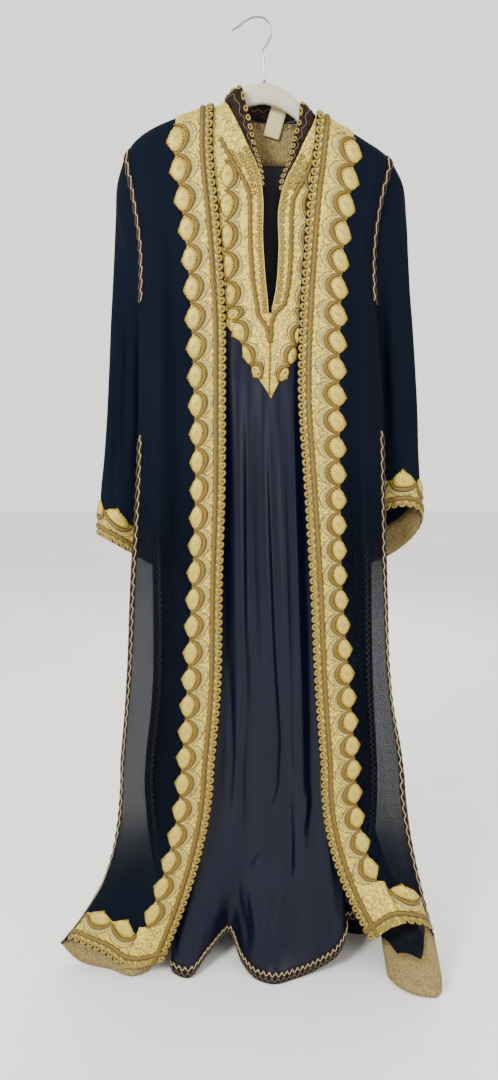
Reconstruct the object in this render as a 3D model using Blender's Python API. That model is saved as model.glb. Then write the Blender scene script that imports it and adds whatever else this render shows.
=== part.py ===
"""A two-layer Moroccan kaftan on a moulded hanger: metres, +Z up, the front faces -Y.

The origin is the inside top of the hanger's hook. Right and left are the wearer's: the right side is at -X.
Each panel of cloth is a grid of points. Its lines run from the shoulder to the hem, and a hem table says
where each line ends, so that the folds grow towards the floor. What lies on a panel is made from its points.
"""

import math

import bmesh
import bpy
from mathutils import Vector

MM = 0.001

# Walls and clearances
CHIFFON_WALL = 1.1 * MM
SATIN_WALL = 1.3 * MM
BAND_WALL = 1.6 * MM
BRAID_WALL = 1.4 * MM
SEAM_GAP = 0.4 * MM
SHOULDER_GAP = 1.2 * MM  # half the gap over the shoulder, where the two walls lean towards each other
LIFT = 0.6 * MM
LEAST_MITRE = 0.3  # a sharper fold than this moves out no further

# Gold bands and braids
SCALLOP_REACH = (0.80, 0.94, 1.0, 0.94)  # share of the band's width at each quarter of a scallop
SCALLOP_PITCH = 54 * MM  # along the hem
HEM_BAND = 68 * MM
CUFF_BAND = 60 * MM
BRAID = 17.5 * MM
BRAID_STEP = 1.3 * MM  # the least length of a braid's side between two of its points
BAND_REACH = 0.994  # how far a front band reaches towards its line, so that it clears the hem band
HEM_BAND_ENDS = (0.84, 1.01)  # where a front's hem band ends: lines from the side, and from the front edge
BACK_BAND_END = 0.03  # lines from the side of the back to its hem band
BACK_BAND_LIFT = 0.9 * MM
CUFF_LIFT = {"right": 0.6 * MM, "left": 1.74 * MM}

# Hanger
WIRE_RADIUS = 1.65 * MM
BAR_DEPTH = 15 * MM
LABEL = (25 * MM, 0.8 * MM, 49 * MM)

# The cloth hangs straight down to this height, and below it the lines sweep out to the hem
ROBE_SWEEP_Z = -1.16
DRESS_SWEEP_Z = -1.18
SHOULDER_ROLL = 0.022

# Shoulder line of the robe, from the right arm to the left: x, z
SHOULDERS = (
    (-0.2020, -0.2020),
    (-0.1880, -0.1825),
    (-0.1600, -0.1615),
    (-0.1260, -0.1460),
    (-0.1000, -0.1365),
    (-0.0636, -0.1250),
    (-0.0423, -0.1165),
    (0.0200, -0.1150),
    (0.0796, -0.1225),
    (0.0959, -0.1380),
    (0.1134, -0.1467),
    (0.1442, -0.1641),
    (0.1674, -0.1786),
    (0.1907, -0.1932),
    (0.2133, -0.2100),
)
DRESS_DROP = 5.0 * MM  # the dress's shoulder below the robe's

# Robe, by height: z, then x of the front edge, of the band's points and of the side, right and left
ROBE_X = (
    (-0.115, -0.0625, -0.1340, -0.2020, 0.0940, 0.1600, 0.2133),
    (-0.200, -0.0640, -0.1330, -0.2010, 0.0860, 0.1590, 0.2115),
    (-0.260, -0.0580, -0.1250, -0.1900, 0.0780, 0.1530, 0.1950),
    (-0.340, -0.0510, -0.1140, -0.1790, 0.0720, 0.1420, 0.1840),
    (-0.440, -0.0450, -0.1080, -0.1810, 0.0660, 0.1390, 0.1880),
    (-0.560, -0.0450, -0.1040, -0.1830, 0.0640, 0.1390, 0.1990),
    (-0.700, -0.0460, -0.1020, -0.1890, 0.0740, 0.1410, 0.2050),
    (-0.860, -0.0510, -0.1090, -0.2010, 0.0850, 0.1450, 0.2120),
    (-1.020, -0.0540, -0.1190, -0.2100, 0.0940, 0.1600, 0.2210),
    (-1.160, -0.0660, -0.1290, -0.2240, 0.1050, 0.1720, 0.2440),
)
# Robe, by height: z, y of the front, of the back, of each side's front and back edge, fold depth
ROBE_Y = (
    (-0.115, -0.0270, 0.0270, -0.0150, 0.0150, 0.0000),
    (-0.200, -0.0385, 0.0365, -0.0190, 0.0190, 0.0005),
    (-0.260, -0.0460, 0.0395, -0.0200, 0.0190, 0.0010),
    (-0.340, -0.0510, 0.0400, -0.0210, 0.0130, 0.0030),
    (-0.440, -0.0540, 0.0400, -0.0240, -0.0210, 0.0045),
    (-0.560, -0.0570, 0.0410, -0.0240, -0.0210, 0.0060),
    (-0.860, -0.0590, 0.0430, -0.0240, -0.0210, 0.0080),
    (-1.020, -0.0600, 0.0460, -0.0240, -0.0210, 0.0090),
    (-1.160, -0.0640, 0.0490, -0.0260, -0.0230, 0.0110),
)
# Lines of a robe front, from the edge to the side: share of the stretch beyond the band, fold weight,
# hem x, y, z, and how late the line leaves its straight hang
FRONT_RIGHT = (
    ("edge", 0.00, 0.0, -0.1500, -0.0880, -1.4770, 1.7),
    ("band", 0.00, 0.3, -0.2170, -0.0900, -1.4840, 1.7),
    ("side", 0.22, 1.0, -0.2450, -0.0840, -1.4680, 1.8),
    ("side", 0.50, -1.0, -0.2800, -0.0750, -1.4560, 2.0),
    ("side", 0.77, 0.2, -0.3090, -0.0620, -1.4540, 2.3),
    ("side", 1.00, 0.0, -0.3270, -0.0450, -1.4730, 2.8),
)
FRONT_LEFT = (
    ("edge", 0.00, 0.0, 0.1850, -0.1000, -1.4330, 2.2),
    ("band", 0.00, 0.3, 0.2400, -0.1140, -1.3940, 2.2),
    ("side", 0.22, 0.9, 0.2580, -0.1150, -1.3960, 2.0),
    ("side", 0.45, -0.8, 0.2710, -0.1110, -1.4010, 1.7),
    ("side", 0.68, 0.4, 0.2800, -0.1040, -1.4110, 1.6),
    ("side", 1.00, 0.0, 0.2900, -0.0920, -1.4310, 1.6),
)
# Lines of the robe's back, from the right side to the left: share of the width, fold weight,
# hem x, y, z, and how late the line leaves its straight hang
BACK = (
    (0.00, 0.0, -0.3270, -0.0418, -1.4730, 2.8),
    (0.05, 0.0, -0.3000, -0.0500, -1.4970, 3.5),
    (0.08, 0.1, -0.2400, -0.0740, -1.5000, 4.5),
    (0.11, 0.2, -0.1980, -0.0900, -1.5010, 4.5),
    (0.15, 0.2, -0.1760, -0.0740, -1.5010, 4.5),
    (0.20, 0.0, -0.1820, -0.0360, -1.5010, 4.0),
    (0.27, -0.3, -0.1960, 0.0120, -1.5010, 3.0),
    (0.337, 0.4, -0.1450, 0.0560, -1.5010, 2.0),
    (0.43, -0.4, -0.0750, 0.0500, -1.5010, 2.0),
    (0.55, 0.4, 0.0050, 0.0640, -1.5010, 2.0),
    (0.68, -0.4, 0.0850, 0.0520, -1.5010, 2.0),
    (0.722, 0.4, 0.1300, 0.0640, -1.5010, 2.0),
    (0.79, -0.3, 0.2200, 0.0480, -1.5010, 1.6),
    (0.85, 0.0, 0.2950, -0.0050, -1.5010, 1.5),
    (0.88, 0.0, 0.2520, -0.0450, -1.5010, 3.0),
    (0.91, 0.0, 0.2180, -0.0850, -1.5000, 3.2),
    (0.94, 0.0, 0.2400, -0.1300, -1.5010, 3.8),
    (0.97, 0.0, 0.2880, -0.1430, -1.5010, 3.2),
    (1.00, 0.0, 0.2905, -0.0876, -1.4310, 1.6),
)

# Dress, by height: z, then x of the neck and slit edge and of the side, right and left
DRESS_X = (
    (-0.1150, -0.0500, -0.1960, 0.0945, 0.2060),
    (-0.1300, -0.0420, -0.1950, 0.0940, 0.2055),
    (-0.1585, -0.0270, -0.1940, 0.0860, 0.2050),
    (-0.1880, -0.0130, -0.1930, 0.0710, 0.2040),
    (-0.2220, 0.0030, -0.1850, 0.0560, 0.1960),
    (-0.2620, 0.0100, -0.1790, 0.0370, 0.1860),
    (-0.3300, 0.0105, -0.1700, 0.0352, 0.1750),
    (-0.3940, 0.0150, -0.1670, 0.0322, 0.1740),
    (-0.4374, 0.0190, -0.1670, 0.0245, 0.1750),
    (-0.4800, 0.0120, -0.1670, 0.0310, 0.1770),
    (-0.7000, 0.0140, -0.1670, 0.0380, 0.1830),
    (-1.0200, 0.0200, -0.1680, 0.0500, 0.1930),
    (-1.1800, 0.0160, -0.1850, 0.0520, 0.2040),
)
SLIT_END_Z = -0.4374
# Dress, by height: z, y of the front, of the back, of the side's front and back edge, fold depth
DRESS_Y = (
    (-0.115, -0.0210, 0.0185, -0.0120, 0.0110, 0.0000),
    (-0.200, -0.0310, 0.0265, -0.0150, 0.0130, 0.0000),
    (-0.260, -0.0370, 0.0290, -0.0160, 0.0110, 0.0000),
    (-0.340, -0.0420, 0.0290, -0.0170, 0.0030, 0.0000),
    (-0.440, -0.0430, 0.0290, -0.0150, -0.0118, 0.0000),
    (-0.560, -0.0430, 0.0260, -0.0140, -0.0108, 0.0020),
    (-0.860, -0.0430, 0.0250, -0.0140, -0.0108, 0.0050),
    (-1.020, -0.0440, 0.0270, -0.0140, -0.0108, 0.0055),
    (-1.180, -0.0470, 0.0290, -0.0140, -0.0108, 0.0060),
)
# Lines of the dress's front from the slit to the side, right and left: share, fold weight,
# hem x, y, z, and how late the line leaves its straight hang
DRESS_FRONT_RIGHT = (
    (0.00, -1.0, 0.0000, -0.0960, -1.5010, 2.0),
    (0.12, 0.8, -0.0200, -0.0720, -1.4920, 2.0),
    (0.21, -1.0, -0.0450, -0.0350, -1.4590, 2.0),
    (0.37, 0.6, -0.0820, -0.0680, -1.4810, 2.0),
    (0.56, -0.8, -0.1100, -0.0950, -1.5010, 3.0),
    (0.78, 0.3, -0.1360, -0.0800, -1.5000, 3.0),
    (1.00, 0.0, -0.1300, -0.0400, -1.4970, 2.0),
)
DRESS_FRONT_LEFT = (
    (0.00, 0.8, 0.0280, -0.1110, -1.5010, 3.0),
    (0.14, -1.0, 0.0620, -0.0980, -1.5010, 3.0),
    (0.26, 0.7, 0.1000, -0.0820, -1.4950, 2.0),
    (0.43, -0.6, 0.1380, -0.0720, -1.4730, 2.0),
    (0.63, 0.6, 0.1520, -0.0520, -1.4460, 2.0),
    (0.83, -0.3, 0.1300, -0.0330, -1.4300, 3.0),
    (1.00, 0.0, 0.1060, -0.0240, -1.4400, 4.0),
)
# Lines of the dress's back, from the right side to the left: share, fold weight, hem x, y, z, how late
DRESS_BACK = (
    (0.00, 0.0, -0.1300, -0.0366, -1.4970, 2.0),
    (0.04, 0.0, -0.1400, -0.0050, -1.5010, 2.0),
    (0.12, 0.2, -0.1150, 0.0260, -1.5010, 2.0),
    (0.24, -0.6, -0.0650, 0.0400, -1.5010, 2.0),
    (0.363, 0.6, -0.0150, 0.0280, -1.5010, 2.0),
    (0.48, -0.6, 0.0400, 0.0420, -1.5010, 2.0),
    (0.60, 0.6, 0.0950, 0.0300, -1.5010, 2.0),
    (0.7226, -0.4, 0.1500, 0.0380, -1.5010, 2.0),
    (0.80, 0.0, 0.1880, 0.0160, -1.4920, 2.0),
    (0.86, 0.0, 0.1960, -0.0140, -1.4540, 2.0),
    (0.91, 0.0, 0.1640, -0.0120, -1.4500, 2.5),
    (0.95, 0.0, 0.1200, 0.0020, -1.4900, 4.0),
    (0.98, 0.0, 0.0920, -0.0100, -1.4900, 4.0),
    (1.00, 0.0, 0.1060, -0.0206, -1.4400, 4.0),
)

# Stand collar, from the right end of the slit round the back to the left end: where its foot is, as a
# row of the front's edge or a share of the back's neckline, and how far its top edge stands from the foot
COLLAR = (
    ("right", 5.9, 0.0016, 0.0000, 0.0004),
    ("right", 5.0, 0.0060, 0.0000, -0.0030),
    ("right", 4.0, 0.0130, 0.0005, -0.0080),
    ("right", 3.0, 0.0180, 0.0005, -0.0010),
    ("right", 2.0, 0.0205, 0.0005, 0.0110),
    ("right", 1.0, 0.0190, -0.0040, 0.0260),
    ("back", 0.00, 0.0060, 0.0000, 0.0120),
    ("back", 0.16, 0.0060, -0.0010, 0.0190),
    ("back", 0.33, 0.0030, -0.0015, 0.0260),
    ("back", 0.50, 0.0000, -0.0015, 0.0300),
    ("back", 0.67, -0.0030, -0.0015, 0.0270),
    ("back", 0.84, -0.0060, -0.0010, 0.0200),
    ("back", 0.97, -0.0090, 0.0000, 0.0110),
    ("left", 1.0, -0.0215, 0.0005, 0.0210),
    ("left", 2.0, -0.0205, 0.0005, 0.0080),
    ("left", 3.0, -0.0180, 0.0005, 0.0000),
    ("left", 4.0, -0.0120, 0.0005, -0.0020),
    ("left", 5.0, -0.0080, 0.0000, 0.0000),
    ("left", 5.6, -0.0016, 0.0000, 0.0010),
)
COLLAR_WALL = 2.0 * MM
COLLAR_GAP = 1.1 * MM
NECK_DIP = 0.022  # the back neckline below the shoulders, at its middle

# Sleeves beyond the armhole, by ring: x, z and y of the outer line, then of the inner line, half the depth,
# and how much higher the front lies than the back
SLEEVE_RIGHT = (
    (-0.2140, -0.2350, 0.008, -0.1880, -0.4400, 0.012, 0.022, 0.0),
    (-0.2190, -0.2850, 0.016, -0.1800, -0.4750, 0.028, 0.022, 0.0),
    (-0.2240, -0.3500, 0.022, -0.1700, -0.5200, 0.038, 0.022, 0.0),
    (-0.2300, -0.4300, 0.026, -0.1640, -0.5700, 0.044, 0.022, 0.0),
    (-0.2370, -0.5200, 0.027, -0.1580, -0.6300, 0.047, 0.023, 0.0),
    (-0.2450, -0.6100, 0.027, -0.1520, -0.7000, 0.051, 0.024, 0.0),
    (-0.2510, -0.6850, 0.026, -0.1450, -0.7650, 0.056, 0.026, 0.002),
    (-0.2560, -0.7450, 0.024, -0.1380, -0.8250, 0.062, 0.028, 0.004),
    (-0.2585, -0.7870, 0.022, -0.1330, -0.8680, 0.066, 0.030, 0.006),
)
SLEEVE_LEFT = (
    (0.2270, -0.2350, 0.008, 0.1960, -0.4400, 0.012, 0.022, 0.0),
    (0.2360, -0.2850, 0.016, 0.1880, -0.4750, 0.028, 0.022, 0.0),
    (0.2420, -0.3500, 0.022, 0.1800, -0.5200, 0.038, 0.022, 0.0),
    (0.2490, -0.4300, 0.026, 0.1740, -0.5700, 0.044, 0.022, 0.0),
    (0.2560, -0.5200, 0.027, 0.1690, -0.6200, 0.047, 0.023, 0.0),
    (0.2620, -0.5900, 0.027, 0.1640, -0.6700, 0.051, 0.025, 0.008),
    (0.2670, -0.6550, 0.027, 0.1590, -0.7250, 0.056, 0.027, 0.020),
    (0.2714, -0.7210, 0.027, 0.1535, -0.7790, 0.062, 0.030, 0.035),
    (0.2740, -0.7660, 0.027, 0.1500, -0.8200, 0.067, 0.034, 0.046),
)

# Hanger bar, from the right end to the left: x, z of the top edge, height of the face
BAR = (
    (-0.1960, -0.2120, 0.0120),
    (-0.1860, -0.1960, 0.0180),
    (-0.1600, -0.1710, 0.0220),
    (-0.1260, -0.1545, 0.0240),
    (-0.1000, -0.1450, 0.0260),
    (-0.0700, -0.1355, 0.0280),
    (-0.0500, -0.1315, 0.0290),
    (-0.0330, -0.1175, 0.0300),
    (-0.0190, -0.0990, 0.0305),
    (0.0000, -0.0935, 0.0305),
    (0.0130, -0.0920, 0.0305),
    (0.0310, -0.0965, 0.0305),
    (0.0480, -0.1050, 0.0305),
    (0.0640, -0.1180, 0.0300),
    (0.0770, -0.1360, 0.0290),
    (0.0930, -0.1495, 0.0280),
    (0.1134, -0.1560, 0.0260),
    (0.1442, -0.1730, 0.0240),
    (0.1674, -0.1880, 0.0220),
    (0.1907, -0.2060, 0.0180),
    (0.2000, -0.2160, 0.0120),
)
# Hook wire, from its stem to its tip: x, z
HOOK = (
    (0.0131, -0.0917),
    (0.0120, -0.0600),
    (0.0104, -0.0470),
    (0.0180, -0.0350),
    (0.0232, -0.0237),
    (0.0212, -0.0110),
    (0.0125, -0.0005),
    (0.0000, 0.00165),
    (-0.0148, -0.0035),
    (-0.0270, -0.0125),
    (-0.0350, -0.0165),
)
HOOK_STEPS = 3

YOKE_LINES = 3  # how many lines the yoke reaches on each side of the slit
YOKE_EDGE = ((0.0, -0.562), (1.0, -0.530), (2.0, -0.502), (3.0, -0.472))  # lines from the slit, z of its edge
YOKE_TIP_Z = -0.577
YOKE_SCALLOP = 7 * MM
BACK_NECK = (4, 7)  # lines of the dress's back at the ends of its neckline
BACK_YOKE_ROWS = 4
LABEL_PLACE = (0.0306, 0.0152, -0.1430)
LABEL_TILT = 0.29
# Rows of the panels: metres below the shoulder, then even steps down to the hem band
ROBE_DROPS = (0.0, 0.0065, 0.020)
DRESS_DROPS = (0.0, 0.0065, 0.020, 0.040, 0.065, 0.100, 0.140)
ROBE_ROWS = 33
DRESS_ROWS = 27
DROP = 1.36  # the length of a line
ARMHOLE_ROWS = 7  # rows of the robe from the shoulder to the underarm
DRESS_ARMHOLE_ROWS = 9

# Looks: colour, roughness, metallic
MATERIALS = {
    "satin": ((0.012, 0.018, 0.040), 0.32, 0.0),
    "chiffon": ((0.008, 0.012, 0.030), 0.75, 0.0),
    "gold": ((0.62, 0.50, 0.22), 0.55, 0.2),
    "dull_gold": ((0.30, 0.26, 0.16), 0.8, 0.0),
    "braid": ((0.010, 0.008, 0.010), 0.6, 0.0),
    "label": ((0.80, 0.75, 0.62), 0.8, 0.0),
    "moulded": ((0.56, 0.54, 0.44), 0.55, 0.0),
    "chrome": ((0.75, 0.76, 0.78), 0.18, 1.0),
}


def material(name):
    found = bpy.data.materials.get(name)
    if found:
        return found
    colour, roughness, metallic = MATERIALS[name]
    made = bpy.data.materials.new(name)
    made.use_nodes = True
    shader = made.node_tree.nodes["Principled BSDF"]
    shader.inputs["Base Color"].default_value = (*colour, 1.0)
    shader.inputs["Roughness"].default_value = roughness
    shader.inputs["Metallic"].default_value = metallic
    made.diffuse_color = (*colour, 1.0)
    return made


def table_at(table, key, column):
    """A column of a table at this value of its first column, on a smooth curve through the rows."""
    rows = table if table[0][0] < table[-1][0] else table[::-1]
    if key <= rows[0][0]:
        return rows[0][column]
    if key >= rows[-1][0]:
        return rows[-1][column]
    at = next(k for k in range(len(rows) - 1) if rows[k + 1][0] >= key)
    low, high = rows[at], rows[at + 1]
    before, after = rows[max(at - 1, 0)], rows[min(at + 2, len(rows) - 1)]
    span = high[0] - low[0]
    share = (key - low[0]) / span
    slope_low = (high[column] - before[column]) / (high[0] - before[0]) * span
    slope_high = (after[column] - low[column]) / (after[0] - low[0]) * span
    square, cube = share**2, share**3
    return (
        (2 * cube - 3 * square + 1) * low[column]
        + (cube - 2 * square + share) * slope_low
        + (3 * square - 2 * cube) * high[column]
        + (cube - square) * slope_high
    )


def mix(a, b, share):
    return a + (b - a) * share


def shoulder(x):
    return table_at(SHOULDERS, x, 1)


def rolled(drop):
    """How much of its depth the cloth has reached this far below the top of the shoulder."""
    return math.sqrt(1 - (1 - min(max(drop, 0.0) / SHOULDER_ROLL, 1)) ** 2)


# The places round a point that its six triangles reach, by line and row
NEIGHBOURS = ((1, 0), (1, -1), (0, -1), (-1, 0), (-1, 1), (0, 1))


class Panel:
    """A grid of points: points[row][line], from the shoulder down and from one side to the other."""

    def __init__(self, points, outward, ring=False):
        self.points = points
        self.ring = ring
        self.rows = len(points) - 1
        self.lines = len(points[0]) - 1
        self.outward = outward
        self.outs = [[self.out(row, line) for line in range(self.lines + 1)] for row in range(self.rows + 1)]

    def out(self, row, line):
        """The way out of the cloth at a point, longer at a fold, so that what it moves clears both faces."""
        here = self.points[row][line]
        beside = []
        for along, down in NEIGHBOURS:
            other = (line + along) % self.lines if self.ring else line + along
            there = 0 <= other <= self.lines and 0 <= row + down <= self.rows
            beside.append(self.points[row + down][other] - here if there else None)
        pairs = zip(beside, beside[1:] + beside[:1])
        normals = [self.outward * first.cross(second).normalized() for first, second in pairs if first and second]
        middle = sum(normals, Vector()).normalized()
        return middle / max(min(middle.dot(normal) for normal in normals), LEAST_MITRE)

    def at(self, line, row, lift=0.0):
        """The point at a place between the lines and rows, on the panel's own triangles, moved out by lift."""
        i = min(int(line), self.lines - 1)
        j = min(int(row), self.rows - 1)
        s, t = line - i, row - j
        if s + t <= 1:
            corners = ((1 - s - t, j, i), (s, j, i + 1), (t, j + 1, i))
        else:
            corners = ((s + t - 1, j + 1, i + 1), (1 - t, j, i + 1), (1 - s, j + 1, i))
        return sum((share * (self.points[b][a] + lift * self.outs[b][a]) for share, b, a in corners), Vector())

    def line_from_side(self, row, distance, last):
        """The place between lines that lies this far from the first or the last line, along a row."""
        steps = range(self.lines) if not last else range(self.lines, 0, -1)
        for step in steps:
            other = step + (-1 if last else 1)
            length = (self.at(step, row) - self.at(other, row)).length
            if distance <= length:
                return mix(step, other, distance / length)
            distance -= length
        return float(self.lines // 2)

    def row_from_hem(self, line, distance):
        """The place between rows that lies this far above the hem, along a line."""
        for step in range(self.rows, 0, -1):
            length = (self.at(line, step) - self.at(line, step - 1)).length
            if distance <= length:
                return step - distance / length
            distance -= length
        return 0.0

    def row_at_height(self, line, z):
        for row in range(self.rows):
            upper, lower = self.at(line, row).z, self.at(line, row + 1).z
            if upper >= z >= lower:
                return row + (upper - z) / (upper - lower)
        return 0.0 if z > self.at(line, 0).z else float(self.rows)


def finish(name, mesh_maker, look, smooth=True):
    mesh = bpy.data.meshes.new(name)
    mesh_maker.to_mesh(mesh)
    mesh_maker.free()
    obj = bpy.data.objects.new(name, mesh)
    bpy.context.collection.objects.link(obj)
    mesh.materials.append(material(look))
    if smooth:
        mesh.shade_smooth()
    return obj


def cloth(name, rows, look, wall, side, skip=None, closed=False):
    """A wall of cloth over rows of points. side is the way that the wall grows: 1 along the faces' normals."""
    across, down = len(rows[0]) - 1, len(rows) - 1
    maker = bmesh.new()
    bmesh.ops.create_grid(maker, x_segments=across, y_segments=down, size=1)
    maker.verts.ensure_lookup_table()
    maker.faces.ensure_lookup_table()
    # The grid's own rows run up, so the first row of points is its last
    for number, vertex in enumerate(maker.verts):
        row, line = divmod(number, across + 1)
        vertex.co = rows[down - row][line]
    if skip:
        gone = [
            face
            for number, face in enumerate(maker.faces)
            if skip(down - 1 - number // across, number % across)
        ]
        bmesh.ops.delete(maker, geom=gone, context="FACES")
    if closed:
        bmesh.ops.remove_doubles(maker, verts=maker.verts[:], dist=1e-6)
    bmesh.ops.triangulate(maker, faces=maker.faces[:], quad_method="FIXED")
    obj = finish(name, maker, look)
    solid = obj.modifiers.new("Wall", "SOLIDIFY")
    solid.thickness = wall
    solid.offset = side
    solid.use_even_offset = False
    return obj


def row_shares(rows, drops):
    """How far down its lines each row of a panel lies, with two rows at the hem for the hem band."""
    top = [drop / DROP for drop in drops]
    band = 1 - HEM_BAND / DROP
    steps = rows - len(top) - 1
    even = [mix(top[-1], band, step / steps) for step in range(1, steps + 1)]
    return top + even + [(1 + band) / 2, 1.0]


def swept(upper, hem, share, late):
    """Between a line's straight hang and its hem point."""
    amount = share**late
    return Vector((mix(upper[0], hem[0], amount), mix(upper[1], hem[1], amount)))


def hang(place, top_z, hem, late, share, sweep_z):
    """One point of a line that hangs from top_z to its hem. place gives its x and y at a height."""
    z = mix(top_z, hem[2], share)
    if z >= sweep_z:
        x, y = place(z)
        return Vector((x, y, z))
    below = (sweep_z - z) / (sweep_z - hem[2])
    x, y = swept(place(sweep_z), hem, below, late)
    return Vector((x, y, z))


def robe_front(lines, sign):
    edge, band, side = (1, 2, 3) if sign < 0 else (4, 5, 6)
    shares = row_shares(ROBE_ROWS, ROBE_DROPS)
    rows = []
    for share in shares:
        row = []
        for kind, beyond, weight, *hem, late in lines:

            def across(z, kind=kind, beyond=beyond):
                if kind == "edge":
                    return table_at(ROBE_X, z, edge)
                return mix(table_at(ROBE_X, z, band), table_at(ROBE_X, z, side), beyond)

            top_z = shoulder(across(-0.115))

            def place(z, weight=weight, beyond=beyond, across=across):
                front, at_side = table_at(ROBE_Y, z, 1), table_at(ROBE_Y, z, 3)
                depth = mix(front, at_side, beyond**4) + weight * table_at(ROBE_Y, z, 5)
                return across(z), depth * rolled(shoulder(across(z)) - z) - SHOULDER_GAP

            row.append(hang(place, top_z, hem, late, share, ROBE_SWEEP_Z))
        rows.append(row[::-1] if sign < 0 else row)
    return Panel(rows, 1)


def robe_back(neck):
    shares = row_shares(ROBE_ROWS, ROBE_DROPS)
    rows = []
    for share in shares:
        row = []
        for width_share, weight, *hem, late in BACK:

            def across(z, width_share=width_share):
                return mix(table_at(ROBE_X, z, 3), table_at(ROBE_X, z, 6), width_share)

            top_z = shoulder(across(-0.115)) - neck(across(-0.115))

            def place(z, width_share=width_share, weight=weight, across=across):
                rim = abs(2 * width_share - 1) ** 3
                back, at_side = table_at(ROBE_Y, z, 2), table_at(ROBE_Y, z, 4)
                depth = mix(back, at_side, rim) + weight * table_at(ROBE_Y, z, 5)
                return across(z), depth * rolled(shoulder(across(z)) - z) + SHOULDER_GAP

            row.append(hang(place, top_z, hem, late, share, ROBE_SWEEP_Z))
        rows.append(row)
    return Panel(rows, -1)


def neck_dip(x, right, left, dip):
    """How far a back neckline lies below the shoulder line."""
    share = (x - right) / (left - right)
    return dip * math.sin(math.pi * share) ** 0.7 if 0 < share < 1 else 0.0


def dress_line(x_column, side_column, share, weight, y_front, y_side):
    def across(z):
        return mix(table_at(DRESS_X, z, x_column), table_at(DRESS_X, z, side_column), share)

    def place(z):
        depth = mix(table_at(DRESS_Y, z, y_front), table_at(DRESS_Y, z, y_side), share**4)
        depth += weight * table_at(DRESS_Y, z, 5)
        return across(z), depth * rolled(shoulder(across(z)) - DRESS_DROP - z) - SHOULDER_GAP

    return shoulder(across(-0.115)) - DRESS_DROP, place


def dress_front():
    """The lines run from the right side to the slit, then from the slit to the left side."""
    lines = [(1, 2, line) for line in DRESS_FRONT_RIGHT[::-1]] + [(3, 4, line) for line in DRESS_FRONT_LEFT]
    slit_share = (-0.1205 - SLIT_END_Z) / (-0.1205 + 1.501)
    shares = row_shares(DRESS_ROWS, DRESS_DROPS)
    nearest = min(range(len(shares)), key=lambda row: abs(shares[row] - slit_share))
    rows = []
    for number, share in enumerate(shares):
        row = []
        for x_column, side_column, (width_share, weight, *hem, late) in lines:
            top_z, place = dress_line(x_column, side_column, width_share, weight, 1, 3)
            # The row at the slit's end lies at its height on every line
            if number == nearest:
                share = (top_z - SLIT_END_Z) / (top_z - hem[2])
            row.append(hang(place, top_z, hem, late, share, DRESS_SWEEP_Z))
        rows.append(row)
    return Panel(rows, 1), nearest


def dress_back():
    shares = row_shares(DRESS_ROWS, DRESS_DROPS)
    rows = []
    for share in shares:
        row = []
        for width_share, weight, *hem, late in DRESS_BACK:

            def across(z, width_share=width_share):
                return mix(table_at(DRESS_X, z, 2), table_at(DRESS_X, z, 4), width_share)

            top_x = across(-0.115)
            top_z = shoulder(top_x) - DRESS_DROP - neck_dip(top_x, -0.050, 0.0945, NECK_DIP)

            def place(z, width_share=width_share, weight=weight, across=across):
                rim = abs(2 * width_share - 1) ** 3
                depth = mix(table_at(DRESS_Y, z, 2), table_at(DRESS_Y, z, 4), rim)
                depth += weight * table_at(DRESS_Y, z, 5)
                return across(z), depth * rolled(shoulder(across(z)) - DRESS_DROP - z) + SHOULDER_GAP

            row.append(hang(place, top_z, hem, late, share, DRESS_SWEEP_Z))
        rows.append(row)
    return Panel(rows, -1)


def laid_on(name, panel, stations, look, wall, lift=LIFT, closed=False):
    """A strip on a panel. Each station is a row of places between the panel's lines and rows."""
    rows = [[panel.at(line, row, lift) for line, row in station] for station in stations]
    along = rows[0][1] - rows[0][0]
    up = rows[0][0] - rows[1][0]
    line, row = stations[0][0]
    out = panel.outs[min(round(row), panel.rows)][min(round(line), panel.lines)]
    grows = 1 if along.cross(up).dot(out) > 0 else -1
    if lift < 0:
        grows = -grows
    return cloth(name, rows, look, wall, grows, closed=closed)


def front_band(name, panel, edge, band):
    """Gold down a front's edge: plain over the shoulder and at the hem, one scallop a row between."""
    stations = []
    last = panel.rows
    for row in range(last):
        plain = row < 2 or row >= last - 2
        for quarter, reach in enumerate(SCALLOP_REACH):
            if plain and quarter:
                continue
            share = 1.0 if row >= last - 2 else (SCALLOP_REACH[0] if plain else reach)
            place = row + quarter / 4
            stations.append([(edge, place), (mix(edge, band, min(share, BAND_REACH)), place)])
    stations.append([(edge, last), (mix(edge, band, BAND_REACH), last)])
    return laid_on(name, panel, stations, "gold", BAND_WALL)


def gold_strip(name, panel, stations, height, lift, closed=False):
    """Gold that stands on a hem, as high at each line as its reach. It bends where the panel's triangles do."""
    upper = panel.rows - 1
    rows = []
    for line, reach in stations:
        bend = min(max(1 - line % 1, 0.08), 0.92)
        top = panel.row_from_hem(line, height * reach)
        second = upper - 1 + bend
        if not top + 0.05 < second < upper - 0.05:
            second = mix(top, upper, 0.5)
        rows.append([(line, top), (line, second), (line, upper), (line, upper + bend), (line, panel.rows)])
    return laid_on(name, panel, rows, "gold", BAND_WALL, lift, closed)


def hem_band(name, panel, first, last, lift):
    """Gold along a hem between two lines, with its scallops upward."""
    places = [first, *range(math.ceil(first), math.floor(last) + 1), last]
    stations = []
    for low, high in zip(places, places[1:]):
        length = (panel.at(high, panel.rows) - panel.at(low, panel.rows)).length
        steps = 4 * max(round(length / SCALLOP_PITCH), 1)
        stations += [(mix(low, high, step / steps), SCALLOP_REACH[step % 4]) for step in range(steps)]
    stations.append((last, SCALLOP_REACH[0]))
    return gold_strip(name, panel, stations, HEM_BAND, lift)


def cuff_band(name, tube, lift):
    """Gold round a cuff, with one scallop to every two lines, upward."""
    stations = [(step / 2, SCALLOP_REACH[step % 4]) for step in range(2 * tube.lines + 1)]
    return gold_strip(name, tube, stations, CUFF_BAND, lift, closed=True)


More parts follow.
